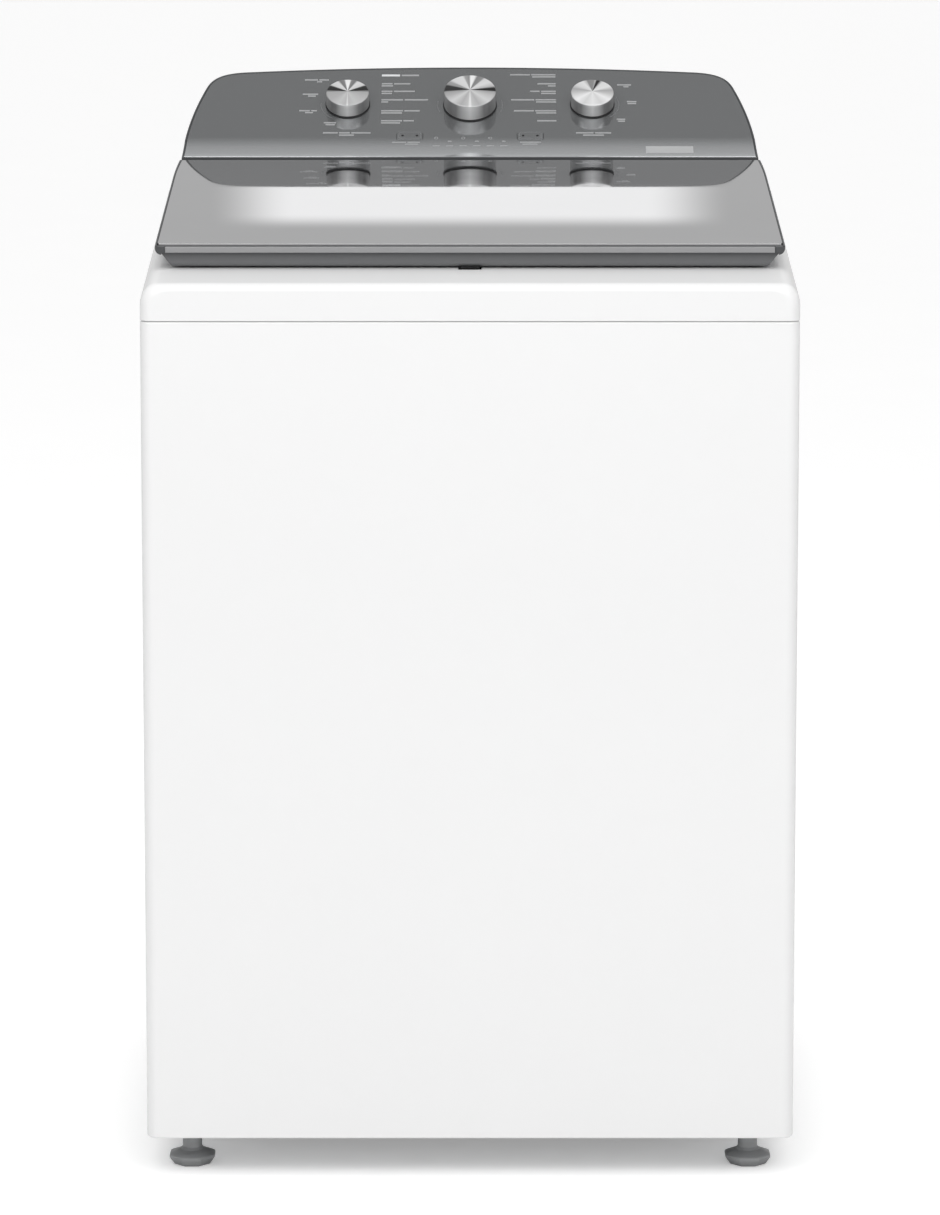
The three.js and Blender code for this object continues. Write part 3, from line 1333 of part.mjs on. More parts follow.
// ---------------------------------------------------------------- suspension
function suspensionRod() {
  const top = cabinetTop - bracketDrop;
  return join(
    bar([0, 0, springBottom - 6], [0, 0, top + 2], rodRadius, TINY),
    turned([
      [0, springBottom - 9], [13, springBottom - 9], [springRadius + 4, springBottom - 4],
      [springRadius + 4, springBottom - gap], [0, springBottom - gap],
    ], TINY),
    turned([[0, top + gap], [11, top + gap], [11, top + 4], [7, top + 10], [0, top + 12]], TINY),
  );
}

class Helix extends THREE.Curve {
  constructor(radius, height, turns) {
    super();
    this.radius = radius;
    this.height = height;
    this.turns = turns;
  }

  getPoint(t, target = new THREE.Vector3()) {
    const angle = t * this.turns * 2 * Math.PI;
    return target.set(this.radius * Math.cos(angle), this.radius * Math.sin(angle), t * this.height);
  }
}

function spring() {
  const helix = new Helix(springRadius, springLength - 2 * springWire, springTurns);
  const steps = Math.round(springTurns * 5);
  return new THREE.ExtrudeGeometry(polygon(springWire, 4), {
    steps, bevelEnabled: false, extrudePath: helix,
  }).translate(0, 0, springBottom + springWire);
}

// ---------------------------------------------------------------- assembly
add('cabinet_shell', cabinetShell(), white());
add('rear_panel', rearPanel(), zinc());
add('base_frame', baseFrame(), zinc());
add('top_deck', topDeck(), white());

add('console_housing', consoleHousing(), darkGrey(), consoleGroup);
add('console_fascia', consoleFascia(), fasciaGrey(), consoleGroup);
add('status_lens', statusLens(), clear(), consoleGroup);
add('control_board', controlBoard(), boardGreen(), consoleGroup);
add('console_rear_cover', consoleRearCover(), zinc());
add('cord_gland', cordGland(), blackPlastic());
for (const knob of knobs) {
  const { name, x, up } = knob;
  add(`${name}_switch`, selectorSwitch(), palePlastic(), consoleGroup).position.set(x, up, switchTop);
  add(`${name}_knob_core`, knobCore(knob), blackPlastic(), consoleGroup).position.set(x, up, 0);
  add(`${name}_knob_cap`, knobCap(knob), spun(), consoleGroup).position.set(x, up, 0);
}
add('options_button', pushButton(-1), fasciaGrey(), consoleGroup);
add('start_button', pushButton(1), fasciaGrey(), consoleGroup);

add('lid_panel', lidPanel(), silver(), lidGroup);
add('lid_frame', lidFrame(), darkGrey(), lidGroup);
add('lid_strike', lidStrike(), blackPlastic(), lidGroup);
add('lid_hinge_left', mirrored(lidHinge(), -1), darkGrey());
add('lid_hinge_right', lidHinge(), darkGrey());
add('lid_lock', lidLock(), blackPlastic());

add('inlet_valve', inletValve(), palePlastic());
add('fill_hose', fillHose(), rubber());
add('drain_outlet', drainOutlet(), greyPlastic());
add('drain_hose', drainHose(), greyPlastic());

const cornerNames = [['front', -1], ['rear', 1]].flatMap(([end, y]) => [['left', -1], ['right', 1]].map(
  ([side, x]) => ({ label: `${end}_${side}`, x, y }),
));
for (const { label, x, y } of cornerNames) {
  add(`foot_${label}`, levellingFoot(), greyPlastic()).position.set(x * footX, axisY + y * footY, 0);
  add(`suspension_rod_${label}`, suspensionRod(), zinc()).position.set(x * rodX, axisY + y * rodY, 0);
  add(`suspension_spring_${label}`, spring(), steel()).position.set(x * rodX, axisY + y * rodY, 0);
}

const tubGroup = new THREE.Group();
tubGroup.position.set(0, axisY, 0);
machine.add(tubGroup);
add('tub', tub(), palePlastic(), tubGroup);
add('tub_ring', tubRing(), palePlastic(), tubGroup);
add('drive_carrier', driveCarrier(), zinc(), tubGroup);
add('gearcase', gearcase(), zinc(), tubGroup);
add('motor', motor(), greyPlastic(), tubGroup);
add('drive_belt', driveBelt(), rubber(), tubGroup);
add('drain_pump', drainPump().translate(0, -axisY, 0), palePlastic(), tubGroup);
add('basket', basket(), steel(), tubGroup);
add('balance_ring', balanceRing(), greyPlastic(), tubGroup);
add('basket_hub', basketHub(), zinc(), tubGroup);
add('impeller', impeller(), palePlastic(), tubGroup);
add('impeller_cap', impellerCap(), greyPlastic(), tubGroup);
add('drive_shaft', driveShaft(), steel(), tubGroup);
add('drive_pulley', drivePulley(), blackPlastic(), tubGroup);
add('motor_pulley', motorPulley(), steel(), tubGroup);

machine.position.y = -(cabinetDepth + rearProjection) / 2;

export default machine;
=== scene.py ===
import json
import math

import bpy
import bmesh
from mathutils import Matrix, Vector


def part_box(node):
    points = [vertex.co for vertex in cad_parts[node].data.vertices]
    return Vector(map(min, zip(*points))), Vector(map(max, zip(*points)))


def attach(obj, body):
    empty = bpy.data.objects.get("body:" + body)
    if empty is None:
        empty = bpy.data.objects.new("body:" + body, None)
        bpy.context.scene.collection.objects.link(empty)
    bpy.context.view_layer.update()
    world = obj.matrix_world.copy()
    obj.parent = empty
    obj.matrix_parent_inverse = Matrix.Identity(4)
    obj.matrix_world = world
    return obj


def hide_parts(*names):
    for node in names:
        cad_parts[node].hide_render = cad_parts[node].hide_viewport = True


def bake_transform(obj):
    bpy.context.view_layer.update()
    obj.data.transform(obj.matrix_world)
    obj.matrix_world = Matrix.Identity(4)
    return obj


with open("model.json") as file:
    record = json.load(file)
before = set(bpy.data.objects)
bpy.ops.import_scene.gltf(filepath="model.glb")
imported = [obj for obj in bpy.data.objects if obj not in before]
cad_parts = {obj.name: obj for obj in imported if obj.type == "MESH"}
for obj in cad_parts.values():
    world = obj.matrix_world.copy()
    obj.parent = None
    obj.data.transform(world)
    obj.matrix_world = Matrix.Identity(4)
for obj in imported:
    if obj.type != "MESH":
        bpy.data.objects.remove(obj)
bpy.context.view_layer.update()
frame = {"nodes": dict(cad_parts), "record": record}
nodes = frame["nodes"]

# Lengths are in millimetres while a piece is made, and its matrix takes it to metres.
MM = 0.001
DEG = math.pi / 180
QUARTER = math.pi / 2
GAP = 0.3  # between pieces that touch
CORNERS = {"front_left": (-1, -1), "front_right": (1, -1), "rear_left": (-1, 1), "rear_right": (1, 1)}


def reach(node):
    """Lowest and highest corner of a CAD node, in millimetres."""
    low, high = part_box(node)
    return low / MM, high / MM


def standing(node):
    """The x and y of a CAD node's middle, and its lowest and highest z."""
    low, high = reach(node)
    return (low.x + high.x) / 2, (low.y + high.y) / 2, low.z, high.z


# ---------------------------------------------------------------- sizes from the frame
cab_lo, cab_hi = reach("cabinet_shell")
deck_hi = reach("top_deck")[1]
ring_lo, ring_hi = reach("tub_ring")
basket_lo, basket_hi = reach("basket")
FRONT, BACK = cab_lo.y, cab_hi.y
HALF = cab_hi.x
SEAM = cab_hi.z
AXIS_Y = (FRONT + BACK) / 2

SHEET = 1.5
CORNER = 13  # radius of the cabinet's upright corners
FOLD = 2.2  # radius of the fold along its top and bottom
HEM = 16
REAR_FLANGE = 24

SEAM_GAP = 0.5
DECK_SLOPE = 7.9 * DEG
DECK_FRONT = SEAM + 37.5
DECK_WALL = 3
DECK_ROLL, DECK_ROLL_DROP = 15, 6  # its front edge rolls over
SHOULDER_WIDTH, SHOULDER_HEIGHT = 18, 22  # and so do its sides
MOUTH_HALF, MOUTH_CORNER, MOUTH_TAPER = HALF - 77, 130, 14
MOUTH_FRONT, MOUTH_BACK = FRONT + 112, FRONT + 466
MOUTH_BOTTOM = SEAM - 20

LID_SETBACK = 69
LID_HALF = HALF - 12.5
LID_DRAW, LID_DRAW_LENGTH = 3, 90  # its sides draw in at the rear
LID_THICK = 23
LID_REACH = 422.02
LID_PLATE = 3
LID_GROOVE = 1.0
LID_LIP, LID_LIP_STEP = 7.7, 0.2
LID_LEDGE, LID_LEDGE_DROP = 11.0, 1.4  # the dark ledge before the panel, and how far it lies below it
LID_EDGE = 0.7  # thickness of the pale strip that closes the panel's front, with its gap; the strip is an edge band whose pale tone is partly a painted highlight of the panel's front edge
LID_RIM = 2.2
LID_PAN_INSET, LID_PAN_TAPER = 6.5, 9.5
LID_RAIL, LID_RAIL_TURN = 10, 7
HINGE_DROP = LID_THICK / 2

FACE_SLOPE = 34 * DEG
HOLLOW_RADIUS, HOLLOW_ANGLE = 143, 16 * DEG
HOLLOW_FOOT = 25.3
FACE_LENGTH = 136
FACE_HALF = HALF - 18
FACE_DRAW = 20  # its sides draw in up to the round corners
FACE_BOW = 3.4  # and bow outwards
FOOT_TAPER = 0.05
FACE_SHOULDER = 94
ARCH_HALF, ARCH_RADIUS = FACE_HALF - 63, 3600
CONSOLE_WALL = 2.5
CONSOLE_RIM = 2.2
FASCIA = 3

console_lo, console_hi = reach("console_housing")
CONSOLE_FRONT, CONSOLE_BACK, CONSOLE_BASE = console_lo.y, console_hi.y, console_lo.z
HOLLOW_RUN, HOLLOW_RISE = HOLLOW_RADIUS * math.sin(HOLLOW_ANGLE), HOLLOW_RADIUS * (1 - math.cos(HOLLOW_ANGLE))
FACE_Y = CONSOLE_FRONT + HOLLOW_RUN * math.cos(FACE_SLOPE) + HOLLOW_RISE * math.sin(FACE_SLOPE)
FACE_Z = (
    CONSOLE_BASE - GAP + HOLLOW_FOOT + HOLLOW_RUN * math.sin(FACE_SLOPE) - HOLLOW_RISE * math.cos(FACE_SLOPE)
)


def deck_height(y):
    return DECK_FRONT + (y - FRONT) * math.tan(DECK_SLOPE)


LID_Y = FRONT + LID_SETBACK
LID_Z = deck_height(LID_Y) + (LID_THICK + 2.5) / math.cos(DECK_SLOPE)

INLET_RADIUS, INLET_PITCH, INLET_Z = 13, 52, SEAM + 52
HOSE_RADIUS = 11
SPOUT_X, SPOUT_Z = HALF - 223, SEAM + 45
REAR_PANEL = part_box("rear_panel")[1].y / MM - SHEET  # its inner face
DRAIN_RADIUS = 15
DRAIN_X, DRAIN_Z = 153 - HALF, SEAM - 72 + 2 * DRAIN_RADIUS
ROD_X, ROD_Y = standing("suspension_rod_rear_right")[0], standing("suspension_rod_rear_right")[1] - AXIS_Y

# ---------------------------------------------------------------- frames of work
ROW = Matrix.Diagonal((MM, MM, MM, 1))


def at(x, y, z=0):
    """Matrix from millimetres round a point to metres in the row frame."""
    return ROW @ Matrix.Translation((x, y, z))


def lying(x, y, z):
    """Matrix, in millimetres, that lays an upright piece down so that its top points to the back."""
    return Matrix.Translation((x, y, z)) @ Matrix.Rotation(-QUARTER, 4, "X")


LID = at(0, LID_Y, LID_Z) @ Matrix.Rotation(DECK_SLOPE, 4, "X")
FACE = at(0, FACE_Y, FACE_Z) @ Matrix.Rotation(FACE_SLOPE, 4, "X")
TUB = at(0, AXIS_Y)
IN_FACE = ROW.inverted() @ FACE


# ---------------------------------------------------------------- outlines
def arc(cx, cy, radius, start, end, steps):
    angles = [start + (end - start) * i / steps for i in range(steps + 1)]
    return [(cx + radius * math.cos(a), cy + radius * math.sin(a)) for a in angles]


def circle(x, y, radius, steps=32):
    return arc(x, y, radius, 0, 2 * math.pi * (steps - 1) / steps, steps - 1)


def rounded(x0, x1, y0, y1, radius, steps=8):
    """A rectangle with round corners, as (x, y) points."""
    x0, x1, y0, y1 = x0 + radius, x1 - radius, y0 + radius, y1 - radius
    centres = ((x1, y1), (x0, y1), (x0, y0), (x1, y0))
    return [
        point for k, (x, y) in enumerate(centres)
        for point in arc(x, y, radius, k * QUARTER, (k + 1) * QUARTER, steps)
    ]


def mirrored(points):
    """The points on the other side of the middle, in the order that goes on round the outline."""
    return [(-x, y) for x, y in reversed(points)]


def quarter(steps):
    """Angles from zero to a quarter turn."""
    return [k / steps * math.pi / 2 for k in range(steps + 1)]


def spaced(count, start=0.0):
    """Angles evenly round a turn."""
    return [start + 2 * math.pi * k / count for k in range(count)]


def raised(base, profile):
    """A (radius, z) profile whose heights are given from a base."""
    return [(radius, base + z) for radius, z in profile]


def bezier(a, b, c, d, steps):
    points = []
    for t in [k / steps for k in range(steps + 1)]:
        s = 1 - t
        points.append(tuple(
            s ** 3 * p + 3 * s * s * t * q + 3 * s * t * t * r + t ** 3 * v for p, q, r, v in zip(a, b, c, d)
        ))
    return points


def smooth_path(points, steps=8):
    """A rounded route through a few points (Catmull-Rom)."""
    pts = [Vector(p) for p in points]
    pts = [pts[0] * 2 - pts[1]] + pts + [pts[-1] * 2 - pts[-2]]
    route = []
    for i in range(1, len(pts) - 2):
        a, b, c, d = pts[i - 1:i + 3]
        for t in [k / steps for k in range(steps)]:
            route.append(0.5 * (
                2 * b + (c - a) * t + (2 * a - 5 * b + 4 * c - d) * t ** 2 + (3 * b - a - 3 * c + d) * t ** 3
            ))
    return route + [pts[-2]]


def clip(points, axis, limit, keep_above):
    """The part of a polygon on one side of a line across an axis."""
    sign = 1 if keep_above else -1
    result = []
    for a, b in zip(points, points[1:] + points[:1]):
        da, db = sign * (a[axis] - limit), sign * (b[axis] - limit)
        if da >= 0:
            result.append(a)
        if (da > 0 > db) or (da < 0 < db):
            t = da / (da - db)
            result.append(tuple(p + (q - p) * t for p, q in zip(a, b)))
    return result


# ---------------------------------------------------------------- mesh tools
def joined(mesh):
    """The mesh with its touching corners joined and its faces turned outwards."""
    work = bmesh.new()
    work.from_mesh(mesh)
    bmesh.ops.remove_doubles(work, verts=work.verts, dist=1e-3)
    bmesh.ops.recalc_face_normals(work, faces=work.faces)
    work.to_mesh(mesh)
    work.free()
    return mesh


def cleared(mesh, near):
    """Joins corners that booleans leave a hair apart and merges flat neighbours, so that a bevel can run."""
    work = bmesh.new()
    work.from_mesh(mesh)
    bmesh.ops.remove_doubles(work, verts=work.verts, dist=near)
    bmesh.ops.dissolve_limit(work, angle_limit=0.03 * DEG, verts=work.verts, edges=work.edges)
    work.to_mesh(mesh)
    work.free()


def mesh_of(points, faces):
    mesh = bpy.data.meshes.new("shape")
    mesh.from_pydata([tuple(p) for p in points], [], faces)
    return joined(mesh)


def grid(rows, count, wrap_rows=False, wrap_points=True):
    """Four-cornered faces between neighbouring rows of points."""
    return [
        (k * count + i, k * count + (i + 1) % count, (k + 1) % rows * count + (i + 1) % count,
         (k + 1) % rows * count + i)
        for k in range(rows if wrap_rows else rows - 1) for i in range(count if wrap_points else count - 1)
    ]


def loft(rings):
    """A closed skin over rings of points, with a face across each end."""
    count, last = len(rings[0]), len(rings) - 1
    faces = grid(len(rings), count)
    faces += [tuple(reversed(range(count))), tuple(last * count + i for i in range(count))]
    return mesh_of([p for ring in rings for p in ring], faces)


def prism(outline, low, high):
    """An outline of (x, y) points carried from one height to another."""
    return loft([[(x, y, z) for x, y in outline] for z in (low, high)])


def along_x(profile, low, high):
    """A side profile of (y, z) points carried along x."""
    return loft([[(x, y, z) for y, z in profile] for x in (low, high)])


def along_y(profile, low, high):
    """A front profile of (x, z) points carried along y."""
    return loft([[(x, y, z) for x, z in profile] for y in (low, high)])


def block(x0, x1, y0, y1, z0, z1):
    return prism([(x0, y0), (x1, y0), (x1, y1), (x0, y1)], z0, z1)


def drum(radius, low, high, steps=40, x=0, y=0):
    return prism(circle(x, y, radius, steps), low, high)


def lathe(profile, steps=96):
    """A (radius, z) profile turned round the z axis: an open one starts and ends on the axis."""
    points, rows, faces = [], [], []
    for radius, z in profile:
        on_axis = radius < 1e-6
        start = len(points)
        rows.append([start] * steps if on_axis else list(range(start, start + steps)))
        angles = [0] if on_axis else spaced(steps)
        points += [(radius * math.cos(a), radius * math.sin(a), z) for a in angles]
    closed = profile[0][0] > 1e-6
    for a, b in zip(rows, rows[1:] + rows[:1] if closed else rows[1:]):
        for i in range(steps):
            j = (i + 1) % steps
            face = list(dict.fromkeys((a[i], a[j], b[j], b[i])))
            if len(face) > 2:
                faces.append(face)
    return mesh_of(points, faces)


def sweep(path, radius, sides=20):
    """A round section carried along a path of points, turning as little as it can."""
    path = [Vector(p) for p in path]
    side, rings = None, []
    for i, p in enumerate(path):
        ahead = (path[min(i + 1, len(path) - 1)] - path[max(i - 1, 0)]).normalized()
        if side is None:
            side = ahead.orthogonal().normalized()
        side = (side - ahead * side.dot(ahead)).normalized()
        other = ahead.cross(side)
        rings.append([
            p + side * (radius * math.cos(a)) + other * (radius * math.sin(a)) for a in spaced(sides)
        ])
    return loft(rings)


def moved(mesh, matrix):
    mesh.transform(matrix)
    return mesh


def shifted(mesh, x, y, z=0):
    return moved(mesh, Matrix.Translation((x, y, z)))


def turned(mesh, angle):
    return moved(mesh, Matrix.Rotation(angle, 4, "Z"))


def join(*meshes):
    """Several meshes in one, without merging their volumes."""
    work = bmesh.new()
    for mesh in meshes:
        work.from_mesh(mesh)
    result = bpy.data.meshes.new("shape")
    work.to_mesh(result)
    work.free()
    return result


def around(mesh, count, start=0.0):
    """Copies of a mesh turned round the z axis."""
    return join(*[turned(mesh.copy(), angle) for angle in spaced(count, start)])


def combine(mesh, other, operation):
    """Boolean of two closed meshes."""
    body, tool = bpy.data.objects.new("body", mesh), bpy.data.objects.new("tool", other)
    for item in (body, tool):
        bpy.context.scene.collection.objects.link(item)
    step = body.modifiers.new("boolean", "BOOLEAN")
    step.operation, step.solver, step.object = operation, "EXACT", tool
    graph = bpy.context.evaluated_depsgraph_get()
    result = bpy.data.meshes.new_from_object(body.evaluated_get(graph))
    for item in (body, tool):
        bpy.data.objects.remove(item)
    return result


def cut(mesh, *tools):
    for tool in tools:
        mesh = combine(mesh, tool, "DIFFERENCE")
    return mesh


def fuse(mesh, *others):
    for other in others:
        mesh = combine(mesh, other, "UNION")
    return mesh


def common(mesh, other):
    return combine(mesh, other, "INTERSECT")


# ---------------------------------------------------------------- finished pieces
FINISHES = {}  # materials by name, filled below


def piece(name, mesh, matrix, body, finish, replaces=None, bevel=0.0, sharp=32, clear=0.0,
          weighted=False, own_axis=False):
    """A finished object in the row frame that rides on a body.

    Clear is how near its corners are joined, which lets its bevel run its full width past short edges.
    With an axis of its own it keeps its matrix, so that its material turns with it.
    """
    mesh = mesh.copy()
    if clear:
        cleared(mesh, clear)
    mesh.transform(ROW if own_axis else matrix)
    mesh.name = name
    mesh.shade_smooth()
    mesh.set_sharp_from_angle(angle=sharp * DEG)
    item = bpy.data.objects.new(name, mesh)
    bpy.context.scene.collection.objects.link(item)
    if own_axis:
        item.matrix_world = matrix @ ROW.inverted()
    mesh.materials.clear()
    mesh.materials.append(FINISHES[finish])
    if bevel:
        edge = item.modifiers.new("edge", "BEVEL")
        edge.width = bevel * MM
        edge.segments = 2
        edge.limit_method = "ANGLE"
        edge.angle_limit = sharp * DEG
        edge.harden_normals = False
        edge.use_clamp_overlap = not clear
    if weighted:
        item.modifiers.new("even", "WEIGHTED_NORMAL").keep_sharp = True
    if body:
        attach(item, body)
    if replaces:
        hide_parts(replaces)
    return item


# ---------------------------------------------------------------- camera
CAMERA_DISTANCE = 5.107  # from the front of the cabinet
CAMERA_HEIGHT = 1.469
CAMERA_TILT = 7.84 * DEG
FOCAL_SHARE = 4954 / 1215  # focal length over the picture's height
SENSOR = 36.0

lens = bpy.data.cameras.new("camera")
lens.sensor_fit = "VERTICAL"
lens.sensor_height = SENSOR
lens.lens = FOCAL_SHARE * SENSOR
lens.shift_y = -0.12
lens.clip_end = 50
lens.dof.use_dof = False
camera = bpy.data.objects.new("camera", lens)
camera.location = (0, FRONT * MM - CAMERA_DISTANCE, CAMERA_HEIGHT)
camera.rotation_euler = (QUARTER - CAMERA_TILT, 0, 0)
bpy.context.scene.collection.objects.link(camera)
bpy.context.scene.camera = camera


# ---------------------------------------------------------------- materials
class Tree:
    """Adds nodes to a node tree. Each input is given as a value or as another node's output."""

    def __init__(self, owner):
        owner.use_nodes = True
        self.nodes, self.links = owner.node_tree.nodes, owner.node_tree.links

    def feed(self, socket, value):
        if isinstance(value, bpy.types.NodeSocket):
            self.links.new(value, socket)
        else:
            socket.default_value = value

    def node(self, kind, inputs=(), **settings):
        node = self.nodes.new("ShaderNode" + kind)
        for key, value in settings.items():
            setattr(node, key, value)
        for key, value in dict(inputs).items():
            self.feed(node.inputs[key], value)
        return node

    def apart(self, vector):
        return self.node("SeparateXYZ", {"Vector": vector}).outputs

    def maths(self, operation, *values):
        return self.node("Math", dict(enumerate(values)), operation=operation).outputs[0]

    def spread(self, value, low, high, to_low=0.0, to_high=1.0, **settings):
        """A value carried from one span of numbers to another."""
        return self.node("MapRange", {
            "Value": value, "From Min": low, "From Max": high, "To Min": to_low, "To Max": to_high,
        }, **settings).outputs["Result"]

    def ramp(self, fac, stops):
        """Colour ramp of (place, colour) stops."""
        node = self.node("ValToRGB", {"Fac": fac})
        elements = node.color_ramp.elements
        elements.remove(elements[1])
        for index, (place, colour) in enumerate(stops):
            element = elements.new(place) if index else elements[0]
            element.position = place
            element.color = (*colour, 1)
        return node.outputs["Color"]


class Surface(Tree):
    """A procedural material: a Principled shader with its colour, roughness and bump from noise."""

    def __init__(self, name, colour, roughness, metallic=0.0, **sockets):
        self.material = bpy.data.materials.new(name)
        super().__init__(self.material)
        self.shader = self.nodes["Principled BSDF"].inputs
        self.colour, self.roughness = colour, roughness
        sockets.update(Metallic=metallic, Base_Color=(*colour, 1), Roughness=roughness)
        for key, value in sockets.items():
            self.shader[key.replace("_", " ")].default_value = value
        self.place = self.node("TexCoord").outputs["Object"]

    def noise(self, scale, detail=3.0, stretch=None):
        place = self.place
        if stretch:
            place = self.node("Mapping", {"Vector": place, "Scale": stretch}).outputs["Vector"]
        return self.node("TexNoise", {"Vector": place, "Scale": scale, "Detail": detail}).outputs["Fac"]

    def coloured(self, colour):
        self.feed(self.shader["Base Color"], colour)
        return self

    def tint(self, fac, spread):
        """The colour wanders by a share of itself."""
        shades = [[min(c * share, 1) for c in self.colour] for share in (1 - spread, 1 + spread)]
        return self.coloured(self.ramp(fac, zip((0.25, 0.75), shades)))

    def worn(self, fac, spread):
        """The roughness wanders about its middle value."""
        low, high = max(self.roughness - spread, 0.01), self.roughness + spread
        self.feed(self.shader["Roughness"], self.spread(fac, 0.25, 0.75, low, high))
        return self

    def bump(self, fac, height, strength):
        bump = self.node("Bump", {"Height": fac, "Distance": height * MM, "Strength": strength})
        self.feed(self.shader["Normal"], bump.outputs["Normal"])
        return self


def enamel(name, colour, roughness=0.32):
    """Sprayed enamel: faint orange peel, even colour with slow changes of gloss."""
    s = Surface(name, colour, roughness, Coat_Weight=0.5, Coat_Roughness=0.12)
    return s.tint(s.noise(6), 0.003).worn(s.noise(14), 0.012).bump(s.noise(420, 2), 0.008, 0.5).material


def moulded(name, colour, roughness, grain=900, depth=0.02):
    """Moulded plastic with a fine spark-eroded grain."""
    s = Surface(name, colour, roughness)
    return s.tint(s.noise(24), 0.03).worn(s.noise(60), 0.06).bump(s.noise(grain, 4), depth, 0.6).material


def tray_painted_light(name, dark, light):
    """Moulded plastic painted lighter over the lid's front and underside than along its rim: painted light on
    the front, painted shade along the rim.
    """
    s = Surface(name, dark, 0.34)
    _, y, z = s.apart(s.place)
    slope = math.tan(DECK_SLOPE)
    height = s.maths("ADD", s.maths("MULTIPLY_ADD", y, -slope, (LID_Y * slope - LID_Z) * MM), z)
    # painted light: the colour turns lighter from 8 to 13 mm below the lid's top, over the pan, and stays dark
    # on the rim above as painted shade
    below = s.spread(s.maths("MULTIPLY", height, -1.0), LID_RAIL * 0.8 * MM, LID_RAIL * 1.3 * MM)
    s.coloured(s.ramp(below, ((0, dark), (1, light))))
    return s.worn(s.noise(60), 0.04).bump(s.noise(700, 4), 0.006, 0.5).material


def glossy(name, colour, roughness, metallic, spread=0.01):
    """Gloss panel with a metallic lacquer, almost a mirror."""
    s = Surface(name, colour, roughness, metallic, Coat_Weight=0.3, Coat_Roughness=0.02)
    return s.tint(s.noise(9), 0.015).worn(s.noise(40), spread).material


FOOT_PAINTED_SHEEN = (-38, 5)  # the foot of the console's face that is painted lighter, a painted sheen, from the foot of its flat part


def lacquer_painted_sheen(name, colour, roughness, metallic):
    """Gloss console lacquer with a painted sheen: its colour is painted lighter over the hollow strip along
    its foot.
    """
    s = Surface(name, colour, roughness, metallic, Coat_Weight=0.35, Coat_Roughness=0.03)
    up = (0, math.cos(FACE_SLOPE), math.sin(FACE_SLOPE))
    along = s.node("VectorMath", {0: s.place, 1: up}, operation="DOT_PRODUCT").outputs["Value"]
    start = FACE_Y * up[1] + FACE_Z * up[2]
    # painted sheen: share that lightens the colour towards the face's foot
    light = s.spread(along, *[(start + end) * MM for end in FOOT_PAINTED_SHEEN])
    s.coloured(s.ramp(light, (
        (0, [min(c * 2.3, 1) for c in colour]), (0.55, [c * 1.75 for c in colour]), (1, colour),
    )))
    return s.worn(s.noise(40), 0.01).material


def brushed(name, colour, roughness, stretch):
    """Sheet or turned metal with fine parallel marks."""
    s = Surface(name, colour, roughness, 1.0)
    marks = s.noise(1, 4, stretch)
    return s.tint(marks, 0.06).worn(marks, 0.08).bump(marks, 0.01, 0.35).material


def galvanised(name, colour):
    """Zinc-coated sheet with its faint spangle."""
    s = Surface(name, colour, 0.42, 0.85)
    spangle = s.node("TexVoronoi", {"Vector": s.place, "Scale": 160}).outputs["Distance"]
    return s.tint(spangle, 0.07).worn(s.noise(90), 0.08).bump(s.noise(500), 0.01, 0.3).material


# Lit and dark wedges of a turned face, painted into its colour as a painted reflection, from nine o'clock
# through six, three and twelve, as (turn, tone).
PAINTED_SIDE_BANDS = (
    (0.0, 0.30), (0.05, 0.36), (0.12, 0.22), (0.16, 0.24), (0.205, 0.55), (0.25, 0.78), (0.295, 0.55),
    (0.34, 0.24), (0.38, 0.22), (0.45, 0.36), (0.5, 0.30), (1.0, 0.30),
)
PAINTED_WEDGES = {
    "cycle": (
        (0.0, 0.04), (0.015, 0.4), (0.06, 0.5), (0.12, 0.72), (0.19, 0.5), (0.235, 0.62), (0.25, 0.95),
        (0.265, 0.62), (0.31, 0.5), (0.38, 0.72), (0.45, 0.55), (0.49, 0.4), (0.498, 0.02), (0.53, 0.03),
        (0.55, 0.55), (0.6, 0.8), (0.645, 0.75), (0.66, 0.3), (0.7, 0.25), (0.718, 0.95), (0.745, 0.98),
        (0.755, 0.3), (0.785, 0.4), (0.8, 0.8), (0.88, 0.75), (0.9, 0.4), (0.93, 0.35), (0.945, 0.05),
        (1.0, 0.04),
    ),
    "level": (
        (0.0, 0.45), (0.1, 0.5), (0.18, 0.62), (0.24, 0.55), (0.25, 0.9), (0.26, 0.55), (0.32, 0.62),
        (0.4, 0.55), (0.5, 0.45), (0.53, 0.03), (0.585, 0.04), (0.6, 0.7), (0.665, 0.8), (0.685, 0.2),
        (0.72, 0.28), (0.732, 0.98), (0.768, 0.98), (0.78, 0.28), (0.815, 0.2), (0.835, 0.8), (0.9, 0.7),
        (0.915, 0.04), (0.97, 0.03), (1.0, 0.45),
    ),
    "temp": (
        (0.0, 0.6), (0.1, 0.95), (0.18, 0.75), (0.25, 0.9), (0.32, 0.75), (0.4, 0.95), (0.48, 0.6),
        (0.53, 0.45), (0.58, 0.85), (0.66, 0.8), (0.68, 0.3), (0.69, 0.02), (0.712, 0.03), (0.725, 0.55),
        (0.735, 0.3), (0.79, 0.28), (0.80, 0.55), (0.83, 0.85), (0.9, 0.75), (0.95, 0.45), (1.0, 0.6),
    ),
}


